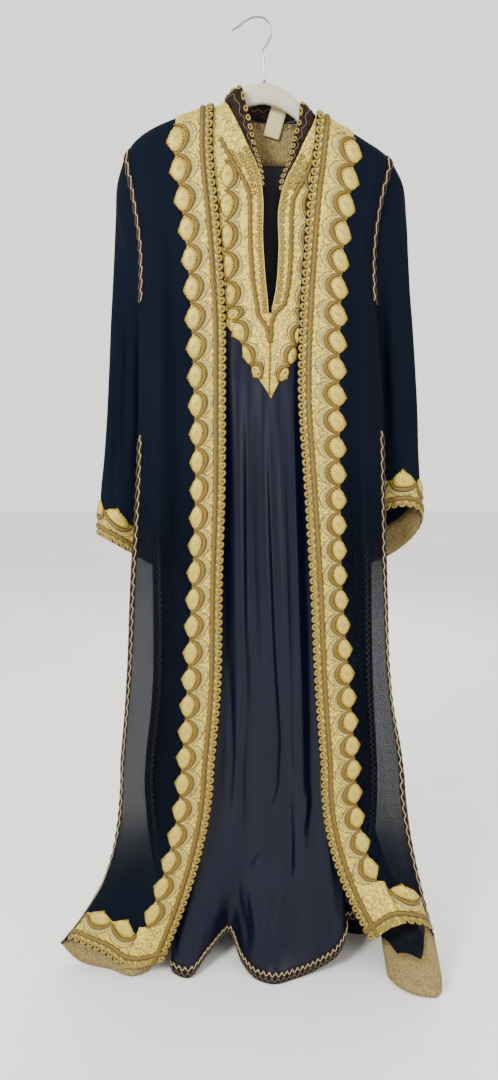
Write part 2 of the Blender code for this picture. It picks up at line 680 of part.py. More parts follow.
def beside(panel, first_row, last_row, last):
    """Stations of a braid along a panel's side edge. They follow the panel's own triangles."""
    widths = [abs(panel.line_from_side(row, BRAID, last) - (panel.lines if last else 0)) for row in range(last_row + 1)]
    stations = []
    for row in range(first_row, last_row + 1):
        steps = [(row, row, widths[row])]
        if row < last_row:
            width = mix(widths[row], widths[row + 1], 0.5)
            edge_line = panel.lines if last else 0
            clear = BRAID_STEP / (panel.at(edge_line, row) - panel.at(edge_line, row + 1)).length
            # Where the braid is wider than the first space between lines, its points still stay in order
            down = min(width, 0.9)
            steps.append((row + clear, row + down, width) if last else (row + 1 - clear, row + 1 - down, width))
        for edge_row, inner_row, width in steps:
            if last:
                stations.append([(panel.lines - width, inner_row), (panel.lines, edge_row)])
            else:
                stations.append([(0, edge_row), (width, inner_row)])
    return stations


def side_braid(name, panel, first_row, last_row, last):
    """Braid on a panel beside its seam."""
    return laid_on(name, panel, beside(panel, first_row, last_row, last), "braid", BRAID_WALL)


def armhole_braid(name, front, back, last):
    """Braid beside an armhole: up the front, over the shoulder and down the back."""
    rows = []
    for panel, order in ((front, -1), (back, 1)):
        for station in beside(panel, 0, ARMHOLE_ROWS, last)[::order]:
            rows.append([panel.at(line, row, LIFT) for line, row in station])
    along, up = rows[0][1] - rows[0][0], rows[0][0] - rows[1][0]
    grows = 1 if along.cross(up).y < 0 else -1
    return cloth(name, rows, "braid", BRAID_WALL, grows)


def hem_braid(name, panel):
    """Braid along a hem. It bends where the panel's triangles do."""
    rows = []
    for line in range(panel.lines):
        top = panel.row_from_hem(line, BRAID)
        rows.append([(line, top), (line, panel.rows)])
        rows.append([(line + panel.rows - top, top), (line + panel.rows - top, panel.rows)])
    rows.append([(panel.lines, panel.row_from_hem(panel.lines, BRAID)), (panel.lines, panel.rows)])
    return laid_on(name, panel, rows, "braid", BRAID_WALL)


def sleeve(front, back, table, last, outward):
    """A tube from the armhole's edge to the cuff. Its lines run down the front of the armhole and up the back."""
    edge = {True: (front.lines, back.lines), False: (0, 0)}[last]
    down = [front.points[row][edge[0]] for row in range(ARMHOLE_ROWS + 1)]
    up = [back.points[row][edge[1]] for row in range(ARMHOLE_ROWS + 1)]
    top, bottom = (down[0] + up[0]) / 2, (down[-1] + up[-1]) / 2
    loop = [top, *down[1:-1], bottom, *up[-2:0:-1], top]
    angles = []
    for number, point in enumerate(loop):
        share = min(max((top.z - point.z) / (top.z - bottom.z), 0.0), 1.0)
        angle = math.acos(1 - 2 * share)
        angles.append(angle if number <= ARMHOLE_ROWS else 2 * math.pi - angle)
    step = Vector((outward * 3 * SEAM_GAP, 0, 0))
    rings = [[point + step for point in loop]]
    for outer_x, outer_z, outer_y, inner_x, inner_z, inner_y, depth, higher in table:
        outer, inner = Vector((outer_x, outer_y, outer_z)), Vector((inner_x, inner_y, inner_z))
        centre, half = (outer + inner) / 2, (outer - inner) / 2
        front_way = Vector((0, -depth, higher))
        rings.append([centre + math.cos(angle) * half + math.sin(angle) * front_way for angle in angles])
    return Panel(rings, 1 if outward < 0 else -1, ring=True)


def sleeve_wall(name, tube):
    grows = -1 if tube.outward > 0 else 1
    return cloth(name, tube.points, "chiffon", CHIFFON_WALL, grows, closed=True)


def yoke(front, slit_line, slit_row):
    """The gold plastron round the slit, with a scalloped lower edge and a point."""
    halves = [slit_line - YOKE_LINES + step / 2 for step in range(2 * YOKE_LINES + 1)]
    places = halves + [slit_line + 0.5] + [slit_line + 1 + step / 2 for step in range(2 * YOKE_LINES + 1)]
    highest = YOKE_EDGE[-1][1] + YOKE_SCALLOP
    plain = min(int(front.row_at_height(place, highest)) for place in places)
    rows = [[(place, row) for place in places] for row in range(plain + 1)]
    lowest = []
    for place in places:
        away = max(slit_line - place, place - slit_line - 1, 0.0)
        z = table_at(YOKE_EDGE, away, 1) + (YOKE_SCALLOP if away % 1 else 0.0)
        if place == slit_line + 0.5:
            z = YOKE_TIP_Z
        lowest.append((place, front.row_at_height(place, z)))
    rows.append([(place, mix(plain, row, 0.5)) for place, row in lowest])
    rows.append(lowest)
    points = [[front.at(line, row, LIFT) for line, row in row_places] for row_places in rows]
    middle = len(halves) - 1
    return cloth(
        "dress_yoke",
        points,
        "gold",
        BAND_WALL,
        1,
        skip=lambda row, line: line in (middle, middle + 1) and row < slit_row,
    )


def back_yoke(back):
    """The reverse of the yoke behind the neck, on the inner face of the dress's back."""
    first, last = BACK_NECK
    rows = [[(line, row) for line in range(first, last + 1)] for row in range(1, BACK_YOKE_ROWS + 1)]
    return laid_on("dress_back_yoke", back, rows, "dull_gold", BAND_WALL, -SATIN_WALL - LIFT)


def collar(front, back, slit_line):
    """A band that stands on the neckline and tapers to nothing beside the slit."""
    first, last = BACK_NECK
    rows = []
    for kind, place, along, deep, high in COLLAR:
        if kind == "back":
            foot = back.at(mix(first, last, place), 0)
        else:
            line = slit_line if kind == "right" else slit_line + 1
            foot = front.at(line, place)
        away = Vector((along, deep, high))
        start = foot + COLLAR_GAP * away.normalized()
        rows.append([start, start + away])
    return cloth("dress_collar", rows, "braid", COLLAR_WALL, 1)


def label():
    maker = bmesh.new()
    bmesh.ops.create_cube(maker, size=1)
    bmesh.ops.scale(maker, vec=LABEL, verts=maker.verts)
    obj = finish("neck_label", maker, "label", smooth=False)
    obj.location = LABEL_PLACE
    obj.rotation_euler = (0, LABEL_TILT, 0)
    return obj


def hanger_bar():
    """A moulded bar: an oval section at each station, closed at both ends."""
    sides = 8
    maker = bmesh.new()
    bmesh.ops.create_grid(maker, x_segments=sides, y_segments=len(BAR) - 1, size=1)
    for number, vertex in enumerate(maker.verts):
        station, side = divmod(number, sides + 1)
        x, top_z, height = BAR[station]
        angle = 2 * math.pi * (side % sides) / sides
        round_y = math.copysign(abs(math.sin(angle)) ** 0.7, math.sin(angle))
        depth = BAR_DEPTH / 2 * min(1.0, height / 0.022)
        vertex.co = (x, -depth * round_y, top_z - height / 2 * (1 - math.cos(angle)))
    bmesh.ops.remove_doubles(maker, verts=maker.verts[:], dist=1e-6)
    bmesh.ops.holes_fill(maker, edges=maker.edges[:])
    bmesh.ops.recalc_face_normals(maker, faces=maker.faces[:])
    return finish("hanger_bar", maker, "moulded")


def smooth_route(points, steps):
    """Points on a smooth curve through a route's own points."""
    route = [Vector((x, 0, z)) for x, z in points]
    made = []
    for at in range(len(route) - 1):
        low, high = route[at], route[at + 1]
        before, after = route[max(at - 1, 0)], route[min(at + 2, len(route) - 1)]
        for step in range(steps):
            share = step / steps
            square, cube = share**2, share**3
            made.append(
                (2 * cube - 3 * square + 1) * low
                + (cube - 2 * square + share) * (high - before) / 2
                + (3 * square - 2 * cube) * high
                + (cube - square) * (after - low) / 2
            )
    return made + [route[-1]]


def hanger_hook():
    curve = bpy.data.curves.new("hanger_hook", "CURVE")
    curve.dimensions = "3D"
    curve.bevel_depth = WIRE_RADIUS
    curve.bevel_resolution = 2
    curve.use_fill_caps = True
    route = smooth_route(HOOK, HOOK_STEPS)
    spline = curve.splines.new("POLY")
    spline.points.add(len(route) - 1)
    for point, place in zip(spline.points, route):
        point.co = (*place, 1)
    obj = bpy.data.objects.new("hanger_hook", curve)
    bpy.context.collection.objects.link(obj)
    curve.materials.append(material("chrome"))
    return obj


def main():
    for obj in list(bpy.data.objects):
        bpy.data.objects.remove(obj)
    hanger_bar()
    hanger_hook()

    front, slit_row = dress_front()
    back = dress_back()
    slit_line = len(DRESS_FRONT_RIGHT) - 1
    cloth(
        "dress_front",
        front.points,
        "satin",
        SATIN_WALL,
        -1,
        skip=lambda row, line: line == slit_line and row < slit_row,
    )
    cloth("dress_back", back.points, "satin", SATIN_WALL, 1)
    yoke(front, slit_line, slit_row)
    back_yoke(back)
    collar(front, back, slit_line)
    label()
    hem_braid("dress_hem_trim_front", front)
    hem_braid("dress_hem_trim_back", back)
    side_braid("dress_side_trim_right", front, DRESS_ARMHOLE_ROWS, front.rows - 1, False)
    side_braid("dress_side_trim_left", front, DRESS_ARMHOLE_ROWS, front.rows - 1, True)

    right = robe_front(FRONT_RIGHT, -1)
    left = robe_front(FRONT_LEFT, 1)
    robe = robe_back(lambda x: neck_dip(x, -0.0625, 0.097, NECK_DIP))
    cloth("robe_front_right", right.points, "chiffon", CHIFFON_WALL, -1)
    cloth("robe_front_left", left.points, "chiffon", CHIFFON_WALL, -1)
    cloth("robe_back", robe.points, "chiffon", CHIFFON_WALL, 1)
    front_band("robe_front_band_right", right, right.lines, right.lines - 1)
    front_band("robe_front_band_left", left, 0, 1)
    at_side, at_edge = HEM_BAND_ENDS
    hem_band("robe_front_hem_band_right", right, at_side, right.lines - at_edge, LIFT)
    hem_band("robe_front_hem_band_left", left, at_edge, left.lines - at_side, LIFT)
    hem_band("robe_back_hem_band", robe, BACK_BAND_END, robe.lines - BACK_BAND_END, BACK_BAND_LIFT)
    for name, panel, last, table, outward in (
        ("right", right, False, SLEEVE_RIGHT, -1),
        ("left", left, True, SLEEVE_LEFT, 1),
    ):
        tube = sleeve(panel, robe, table, last, outward)
        sleeve_wall(f"robe_sleeve_{name}", tube)
        cuff_band(f"robe_cuff_band_{name}", tube, CUFF_LIFT[name])
        armhole_braid(f"robe_armhole_trim_{name}", panel, robe, last)
        side_braid(f"robe_side_trim_{name}", panel, ARMHOLE_ROWS + 1, panel.rows, last)


main()
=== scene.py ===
"""The looks of a two-layer Moroccan kaftan on its hanger: metres, +Z up, the front faces -Y.

Right and left are the wearer's: the right side is at -X. Each panel of cloth runs in smooth curves
through the same grid of points as its solid, with its creases laid on. Bands and braids lie on ribbons
of that cloth.
"""

import math

import bmesh
import bpy
import numpy as np
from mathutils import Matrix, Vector


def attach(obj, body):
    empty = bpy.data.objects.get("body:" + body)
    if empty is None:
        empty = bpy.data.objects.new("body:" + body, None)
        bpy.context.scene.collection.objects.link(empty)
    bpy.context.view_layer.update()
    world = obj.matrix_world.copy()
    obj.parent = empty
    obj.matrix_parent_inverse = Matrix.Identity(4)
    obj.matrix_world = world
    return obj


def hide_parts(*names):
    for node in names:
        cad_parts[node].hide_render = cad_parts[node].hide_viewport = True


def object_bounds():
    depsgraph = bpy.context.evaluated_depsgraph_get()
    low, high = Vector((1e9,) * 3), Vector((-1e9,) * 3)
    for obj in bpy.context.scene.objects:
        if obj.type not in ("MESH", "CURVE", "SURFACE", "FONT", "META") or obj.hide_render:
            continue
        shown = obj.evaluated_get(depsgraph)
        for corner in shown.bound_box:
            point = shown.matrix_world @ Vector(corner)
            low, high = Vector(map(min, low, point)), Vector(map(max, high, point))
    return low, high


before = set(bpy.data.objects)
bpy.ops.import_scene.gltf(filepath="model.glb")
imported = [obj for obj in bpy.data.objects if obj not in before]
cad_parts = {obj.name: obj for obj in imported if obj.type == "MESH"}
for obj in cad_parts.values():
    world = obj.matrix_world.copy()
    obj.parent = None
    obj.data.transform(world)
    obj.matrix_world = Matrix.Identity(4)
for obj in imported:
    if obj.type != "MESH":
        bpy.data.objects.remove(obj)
cad_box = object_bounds()

MM = 0.001

# Cloth and embroidery
CHIFFON_WALL = 0.5 * MM
SATIN_WALL = 0.8 * MM
CAD_SATIN_WALL = 1.3 * MM
BAND_WALL = 1.5 * MM
BRAID_WALL = 1.1 * MM
SEAM_GAP = 0.4 * MM
SHOULDER_GAP = 0.4 * MM
LIFT = 0.5 * MM
HEM_BAND = 68 * MM
CUFF_BAND = 60 * MM
SCALLOP_PITCH = 54 * MM
BACK_SCALLOP_PITCH = 46 * MM
BRAID = 17.5 * MM
NARROW_BRAID = (10 * MM, 0.14)  # its wave's length, and the wave's height in shares of the width
REVERSE_WALL = 0.9 * MM
COLLAR_WALL = 2.0 * MM
PICOT_PITCH = 12.4 * MM
RING_PITCH = 10 * MM

TOP_Z = -0.115  # the first height in the tables below
DRESS_TOP_Z = -0.1205
FLOOR_Z = -1.501
# The cloth hangs straight down to this height, and below it the lines sweep out to the hem
ROBE_SWEEP_Z = -1.16
DRESS_SWEEP_Z = -1.18
SHOULDER_ROLL = 0.022
ROBE_DROPS = (0.0, 0.0065, 0.020)
DRESS_DROPS = (0.0, 0.0065, 0.020, 0.040, 0.065, 0.100, 0.140)
ROBE_ROWS = 33
DRESS_ROWS = 27
DROP = 1.36
ARMHOLE_ROWS = 7
SIDE_BRAID_ROW = 12  # the sleeve hides the seam above it
BAND_SCALLOPS = (2, 31)  # the rows between which a front band is scalloped
HEM_BAND_LINES = 4.16  # how many lines of a robe front its hem band crosses
REVERSE_ROW = 26  # where the reverse starts to show inside a front edge
DRESS_ARMHOLE_ROWS = 9
BACK_NECK = (4, 7)  # the lines of the dress's back between which its neckline dips
DRESS_NECK = (-0.050, 0.0945)  # x of the back neckline's ends, right and left
ROBE_NECK = (-0.0625, 0.097)
BACK_YOKE_ROWS = 4
LABEL = (25 * MM, 49 * MM)
LABEL_PLACE = (0.0306, 0.0152, -0.1430)
LABEL_TILT = 0.29
BAR_DEPTH = 15 * MM
WIRE_RADIUS = 1.65 * MM

# Shoulder line of the robe, from the right arm to the left: x, z
SHOULDERS = (
    (-0.2020, -0.2020),
    (-0.1880, -0.1825),
    (-0.1600, -0.1615),
    (-0.1260, -0.1460),
    (-0.1000, -0.1365),
    (-0.0636, -0.1250),
    (-0.0423, -0.1165),
    (0.0200, -0.1150),
    (0.0796, -0.1225),
    (0.0959, -0.1380),
    (0.1134, -0.1467),
    (0.1442, -0.1641),
    (0.1674, -0.1786),
    (0.1907, -0.1932),
    (0.2133, -0.2100),
)
DRESS_DROP = 5.0 * MM  # the dress's shoulder below the robe's

# Robe, by height: z, then x of the front edge, of the band's points and of the side, right and left
ROBE_X = (
    (-0.115, -0.0625, -0.1340, -0.2020, 0.0940, 0.1600, 0.2133),
    (-0.200, -0.0640, -0.1330, -0.2010, 0.0860, 0.1590, 0.2115),
    (-0.260, -0.0580, -0.1250, -0.1900, 0.0780, 0.1530, 0.1950),
    (-0.340, -0.0510, -0.1140, -0.1790, 0.0720, 0.1420, 0.1840),
    (-0.440, -0.0450, -0.1080, -0.1810, 0.0660, 0.1390, 0.1880),
    (-0.560, -0.0450, -0.1040, -0.1830, 0.0640, 0.1390, 0.1990),
    (-0.700, -0.0460, -0.1020, -0.1890, 0.0740, 0.1410, 0.2050),
    (-0.860, -0.0510, -0.1090, -0.2010, 0.0850, 0.1450, 0.2120),
    (-1.020, -0.0540, -0.1190, -0.2100, 0.0940, 0.1600, 0.2210),
    (-1.160, -0.0660, -0.1290, -0.2240, 0.1050, 0.1720, 0.2440),
)
# Robe, by height: z, y of the front, of the back, of each side's front and back edge, fold depth
ROBE_Y = (
    (-0.115, -0.0270, 0.0270, -0.0150, 0.0150, 0.0000),
    (-0.200, -0.0385, 0.0365, -0.0190, 0.0190, 0.0005),
    (-0.260, -0.0460, 0.0395, -0.0200, 0.0190, 0.0010),
    (-0.340, -0.0510, 0.0400, -0.0210, 0.0130, 0.0030),
    (-0.440, -0.0540, 0.0400, -0.0240, -0.0210, 0.0045),
    (-0.560, -0.0570, 0.0410, -0.0240, -0.0210, 0.0060),
    (-0.860, -0.0590, 0.0430, -0.0240, -0.0210, 0.0080),
    (-1.020, -0.0600, 0.0460, -0.0240, -0.0210, 0.0090),
    (-1.160, -0.0640, 0.0490, -0.0260, -0.0230, 0.0110),
)
# Lines of a robe front, from the edge to the side: share of the stretch beyond the band, fold weight,
# hem x, y, z, and how late the line leaves its straight hang
FRONT_RIGHT = (
    ("edge", 0.00, 0.0, -0.1500, -0.0880, -1.4770, 1.7),
    ("band", 0.00, 0.3, -0.2170, -0.0900, -1.4840, 1.7),
    ("side", 0.22, 1.0, -0.2450, -0.0840, -1.4680, 1.8),
    ("side", 0.50, -1.0, -0.2800, -0.0750, -1.4560, 2.0),
    ("side", 0.77, 0.2, -0.3090, -0.0620, -1.4540, 2.3),
    ("side", 1.00, 0.0, -0.3270, -0.0450, -1.4730, 2.8),
)
FRONT_LEFT = (
    ("edge", 0.00, 0.0, 0.1850, -0.1000, -1.4330, 2.2),
    ("band", 0.00, 0.3, 0.2400, -0.1140, -1.3940, 2.2),
    ("side", 0.22, 0.9, 0.2580, -0.1150, -1.3960, 2.0),
    ("side", 0.45, -0.8, 0.2710, -0.1110, -1.4010, 1.7),
    ("side", 0.68, 0.4, 0.2800, -0.1040, -1.4110, 1.6),
    ("side", 1.00, 0.0, 0.2900, -0.0920, -1.4310, 1.6),
)
# Lines of the robe's back, from the right side to the left: share of the width, fold weight,
# hem x, y, z, and how late the line leaves its straight hang
BACK = (
    (0.00, 0.0, -0.3270, -0.0418, -1.4730, 2.8),
    (0.05, 0.0, -0.3000, -0.0500, -1.4970, 3.5),
    (0.08, 0.1, -0.2400, -0.0740, -1.5000, 4.5),
    (0.11, 0.2, -0.1980, -0.0900, -1.5010, 4.5),
    (0.15, 0.2, -0.1760, -0.0740, -1.5010, 4.5),
    (0.20, 0.0, -0.1820, -0.0360, -1.5010, 4.0),
    (0.27, -0.3, -0.1960, 0.0120, -1.5010, 3.0),
    (0.337, 0.4, -0.1450, 0.0560, -1.5010, 2.0),
    (0.43, -0.4, -0.0750, 0.0500, -1.5010, 2.0),
    (0.55, 0.4, 0.0050, 0.0640, -1.5010, 2.0),
    (0.68, -0.4, 0.0850, 0.0520, -1.5010, 2.0),
    (0.722, 0.4, 0.1300, 0.0640, -1.5010, 2.0),
    (0.79, -0.3, 0.2200, 0.0480, -1.5010, 1.6),
    (0.85, 0.0, 0.2950, -0.0050, -1.5010, 1.5),
    (0.88, 0.0, 0.2520, -0.0450, -1.5010, 3.0),
    (0.91, 0.0, 0.2180, -0.0850, -1.5000, 3.2),
    (0.94, 0.0, 0.2400, -0.1300, -1.5010, 3.8),
    (0.97, 0.0, 0.2880, -0.1430, -1.5010, 3.2),
    (1.00, 0.0, 0.2905, -0.0876, -1.4310, 1.6),
)

# Dress, by height: z, then x of the neck and slit edge and of the side, right and left
DRESS_X = (
    (-0.1150, -0.0500, -0.1960, 0.0945, 0.2060),
    (-0.1300, -0.0420, -0.1950, 0.0940, 0.2055),
    (-0.1585, -0.0270, -0.1940, 0.0860, 0.2050),
    (-0.1880, -0.0130, -0.1930, 0.0710, 0.2040),
    (-0.2220, 0.0030, -0.1850, 0.0560, 0.1960),
    (-0.2620, 0.0100, -0.1790, 0.0370, 0.1860),
    (-0.3300, 0.0105, -0.1700, 0.0352, 0.1750),
    (-0.3940, 0.0150, -0.1670, 0.0322, 0.1740),
    (-0.4374, 0.0190, -0.1670, 0.0245, 0.1750),
    (-0.4800, 0.0120, -0.1670, 0.0310, 0.1770),
    (-0.7000, 0.0140, -0.1670, 0.0380, 0.1830),
    (-1.0200, 0.0200, -0.1680, 0.0500, 0.1930),
    (-1.1800, 0.0160, -0.1850, 0.0520, 0.2040),
)
SLIT_END_Z = -0.4374
# Dress, by height: z, y of the front, of the back, of the side's front and back edge, fold depth
DRESS_Y = (
    (-0.115, -0.0210, 0.0185, -0.0120, 0.0110, 0.0000),
    (-0.200, -0.0310, 0.0265, -0.0150, 0.0130, 0.0000),
    (-0.260, -0.0370, 0.0290, -0.0160, 0.0110, 0.0000),
    (-0.340, -0.0420, 0.0290, -0.0170, 0.0030, 0.0000),
    (-0.440, -0.0430, 0.0290, -0.0150, -0.0118, 0.0000),
    (-0.560, -0.0430, 0.0260, -0.0140, -0.0108, 0.0020),
    (-0.860, -0.0430, 0.0250, -0.0140, -0.0108, 0.0050),
    (-1.020, -0.0440, 0.0270, -0.0140, -0.0108, 0.0055),
    (-1.180, -0.0470, 0.0290, -0.0140, -0.0108, 0.0060),
)
# Lines of the dress's front from the slit to the side, right and left: share, fold weight,
# hem x, y, z, and how late the line leaves its straight hang
DRESS_FRONT_RIGHT = (
    (0.00, -1.0, 0.0000, -0.0960, -1.5010, 2.0),
    (0.12, 0.8, -0.0200, -0.0720, -1.4920, 2.0),
    (0.21, -1.0, -0.0450, -0.0350, -1.4590, 2.0),
    (0.37, 0.6, -0.0820, -0.0680, -1.4810, 2.0),
    (0.56, -0.8, -0.1100, -0.0950, -1.5010, 3.0),
    (0.78, 0.3, -0.1360, -0.0800, -1.5000, 3.0),
    (1.00, 0.0, -0.1300, -0.0400, -1.4970, 2.0),
)
DRESS_FRONT_LEFT = (
    (0.00, 0.8, 0.0280, -0.1110, -1.5010, 3.0),
    (0.14, -1.0, 0.0620, -0.0980, -1.5010, 3.0),
    (0.26, 0.7, 0.1000, -0.0820, -1.4950, 2.0),
    (0.43, -0.6, 0.1380, -0.0720, -1.4730, 2.0),
    (0.63, 0.6, 0.1520, -0.0520, -1.4460, 2.0),
    (0.83, -0.3, 0.1300, -0.0330, -1.4300, 3.0),
    (1.00, 0.0, 0.1060, -0.0240, -1.4400, 4.0),
)
# Lines of the dress's back, from the right side to the left: share, fold weight, hem x, y, z, how late
DRESS_BACK = (
    (0.00, 0.0, -0.1300, -0.0366, -1.4970, 2.0),
    (0.04, 0.0, -0.1400, -0.0050, -1.5010, 2.0),
    (0.12, 0.2, -0.1150, 0.0260, -1.5010, 2.0),
    (0.24, -0.6, -0.0650, 0.0400, -1.5010, 2.0),
    (0.363, 0.6, -0.0150, 0.0280, -1.5010, 2.0),
    (0.48, -0.6, 0.0400, 0.0420, -1.5010, 2.0),
    (0.60, 0.6, 0.0950, 0.0300, -1.5010, 2.0),
    (0.7226, -0.4, 0.1500, 0.0380, -1.5010, 2.0),
    (0.80, 0.0, 0.1880, 0.0160, -1.4920, 2.0),
    (0.86, 0.0, 0.1960, -0.0140, -1.4540, 2.0),
    (0.91, 0.0, 0.1640, -0.0120, -1.4500, 2.5),
    (0.95, 0.0, 0.1200, 0.0020, -1.4900, 4.0),
    (0.98, 0.0, 0.0920, -0.0100, -1.4900, 4.0),
    (1.00, 0.0, 0.1060, -0.0206, -1.4400, 4.0),
)

# Stand collar, from the right end of the slit round the back to the left end: where its foot is, as a
# row of the front's edge or a share of the back's neckline, and how far its top edge stands from the foot
COLLAR = (
    ("right", 5.9, 0.0016, 0.0000, 0.0004),
    ("right", 5.0, 0.0060, 0.0000, -0.0030),
    ("right", 4.0, 0.0130, 0.0005, -0.0080),
    ("right", 3.0, 0.0180, 0.0005, -0.0010),
    ("right", 2.0, 0.0205, 0.0005, 0.0110),
    ("right", 1.0, 0.0190, -0.0040, 0.0260),
    ("back", 0.00, 0.0060, 0.0000, 0.0120),
    ("back", 0.16, 0.0060, -0.0010, 0.0190),
    ("back", 0.33, 0.0030, -0.0015, 0.0260),
    ("back", 0.50, 0.0000, -0.0015, 0.0300),
    ("back", 0.67, -0.0030, -0.0015, 0.0270),
    ("back", 0.84, -0.0060, -0.0010, 0.0200),
    ("back", 0.97, -0.0090, 0.0000, 0.0110),
    ("left", 1.0, -0.0215, 0.0005, 0.0210),
    ("left", 2.0, -0.0205, 0.0005, 0.0080),
    ("left", 3.0, -0.0180, 0.0005, 0.0000),
    ("left", 4.0, -0.0120, 0.0005, -0.0020),
    ("left", 5.0, -0.0080, 0.0000, 0.0000),
    ("left", 5.6, -0.0016, 0.0000, 0.0010),
)
NECK_DIP = 0.022  # the back neckline below the shoulders, at its middle

# Sleeves beyond the armhole, by ring: x, z and y of the outer line, then of the inner line, half the depth,
# and how much higher the front lies than the back
SLEEVE_RIGHT = (
    (-0.2140, -0.2350, 0.008, -0.1820, -0.4440, 0.012, 0.022, 0.0),
    (-0.2190, -0.2850, 0.016, -0.1740, -0.4790, 0.026, 0.022, 0.0),
    (-0.2240, -0.3500, 0.022, -0.1670, -0.5200, 0.036, 0.022, 0.0),
    (-0.2300, -0.4300, 0.026, -0.1640, -0.5700, 0.044, 0.022, 0.0),
    (-0.2370, -0.5200, 0.027, -0.1580, -0.6300, 0.047, 0.023, 0.0),
    (-0.2450, -0.6100, 0.027, -0.1520, -0.7000, 0.051, 0.024, 0.0),
    (-0.2510, -0.6850, 0.026, -0.1450, -0.7650, 0.056, 0.026, 0.002),
    (-0.2560, -0.7450, 0.024, -0.1380, -0.8250, 0.062, 0.028, 0.004),
    (-0.2585, -0.7870, 0.022, -0.1330, -0.8680, 0.066, 0.030, 0.006),
)
SLEEVE_LEFT = (
    (0.2270, -0.2350, 0.008, 0.1890, -0.4440, 0.012, 0.022, 0.0),
    (0.2360, -0.2850, 0.016, 0.1810, -0.4790, 0.026, 0.022, 0.0),
    (0.2420, -0.3500, 0.022, 0.1760, -0.5200, 0.036, 0.022, 0.0),
    (0.2490, -0.4300, 0.026, 0.1740, -0.5700, 0.044, 0.022, 0.0),
    (0.2560, -0.5200, 0.027, 0.1690, -0.6200, 0.047, 0.023, 0.0),
    (0.2620, -0.5900, 0.027, 0.1640, -0.6700, 0.051, 0.025, 0.008),
    (0.2670, -0.6550, 0.027, 0.1590, -0.7250, 0.056, 0.027, 0.020),
    (0.2714, -0.7210, 0.027, 0.1535, -0.7790, 0.062, 0.030, 0.035),
    (0.2740, -0.7660, 0.027, 0.1500, -0.8200, 0.067, 0.034, 0.046),
)

# Hanger bar, from the right end to the left: x, z of the top edge, height of the face
BAR = (
    (-0.1960, -0.2120, 0.0120),
    (-0.1860, -0.1960, 0.0180),
    (-0.1600, -0.1710, 0.0220),
    (-0.1260, -0.1545, 0.0240),
    (-0.1000, -0.1450, 0.0260),
    (-0.0700, -0.1355, 0.0280),
    (-0.0500, -0.1315, 0.0290),
    (-0.0330, -0.1175, 0.0300),
    (-0.0190, -0.0990, 0.0305),
    (0.0000, -0.0935, 0.0305),
    (0.0130, -0.0920, 0.0305),
    (0.0310, -0.0965, 0.0305),
    (0.0480, -0.1050, 0.0305),
    (0.0640, -0.1180, 0.0300),
    (0.0770, -0.1360, 0.0290),
    (0.0930, -0.1495, 0.0280),
    (0.1134, -0.1560, 0.0260),
    (0.1442, -0.1730, 0.0240),
    (0.1674, -0.1880, 0.0220),
    (0.1907, -0.2060, 0.0180),
    (0.2000, -0.2160, 0.0120),
)
# Hook wire, from its stem to its tip: x, z
HOOK = (
    (0.0131, -0.0917),
    (0.0120, -0.0600),
    (0.0104, -0.0470),
    (0.0180, -0.0350),
    (0.0232, -0.0237),
    (0.0212, -0.0110),
    (0.0125, -0.0005),
    (0.0000, 0.00165),
    (-0.0148, -0.0035),
    (-0.0270, -0.0125),
    (-0.0350, -0.0165),
)
# Where the yoke's ground ends: lines away from its middle, z
YOKE_EDGE = ((0.0, -0.566), (0.5, -0.546), (1.5, -0.512), (2.5, -0.480), (3.5, -0.452))

# Creases: half width and height out of the cloth in millimetres (troughs are negative), and the
# route seen from the front
DRESS_FRONT_CREASES = (
    (10, 2.4, ((-0.029, -0.556), (-0.028, -0.754), (-0.031, -0.956))),
    (4, -2.2, ((-0.013, -0.568), (-0.012, -0.754), (-0.013, -0.981))),
    (11, 2.6, ((0.004, -0.568), (0.007, -0.786), (0.014, -0.972))),
    (
        4,
        -3.6,
        (
            (0.019, -0.590),
            (0.027, -0.791),
            (0.035, -0.963),
            (0.045, -1.113),
            (0.042, -1.198),
            (-0.015, -1.355),
        ),
    ),
    (6, 2.4, ((0.030, -0.614), (0.039, -0.818), (0.048, -0.997), (0.055, -1.123))),
    (4, -2.0, ((0.039, -0.568), (0.051, -0.948), (0.057, -1.141), (0.063, -1.184))),
    (6, 1.8, ((0.056, -0.584), (0.066, -0.882), (0.074, -1.081))),
    (5, -2.4, ((-0.041, -0.980), (-0.038, -1.147), (-0.045, -1.250))),
    (10, 2.2, ((-0.009, -1.013), (-0.002, -1.147), (-0.009, -1.250))),
    (8, 3.4, ((-0.059, -1.256), (-0.042, -1.290), (-0.022, -1.321))),
    (6, 3.2, ((0.011, -1.304), (-0.005, -1.333), (-0.019, -1.356))),
    (6, 3.0, ((0.087, -1.200), (0.083, -1.234), (0.077, -1.269))),
    (5, 2.6, ((0.067, -1.277), (0.069, -1.318), (0.070, -1.360))),
    (5, 2.4, ((-0.087, -1.311), (-0.085, -1.367), (-0.076, -1.406), (-0.042, -1.429))),
    (5, 2.4, ((0.041, -1.311), (0.036, -1.376), (0.015, -1.428))),
    (6, 2.6, ((-0.014, -1.351), (0.001, -1.415), (0.015, -1.479))),
    (5, -2.6, ((0.024, -1.332), (0.021, -1.394), (0.011, -1.456))),
    (6, -2.4, ((-0.033, -1.336), (-0.027, -1.394), (-0.009, -1.465))),
    (5, -2.2, ((0.055, -1.211), (0.059, -1.297), (0.054, -1.385))),
)
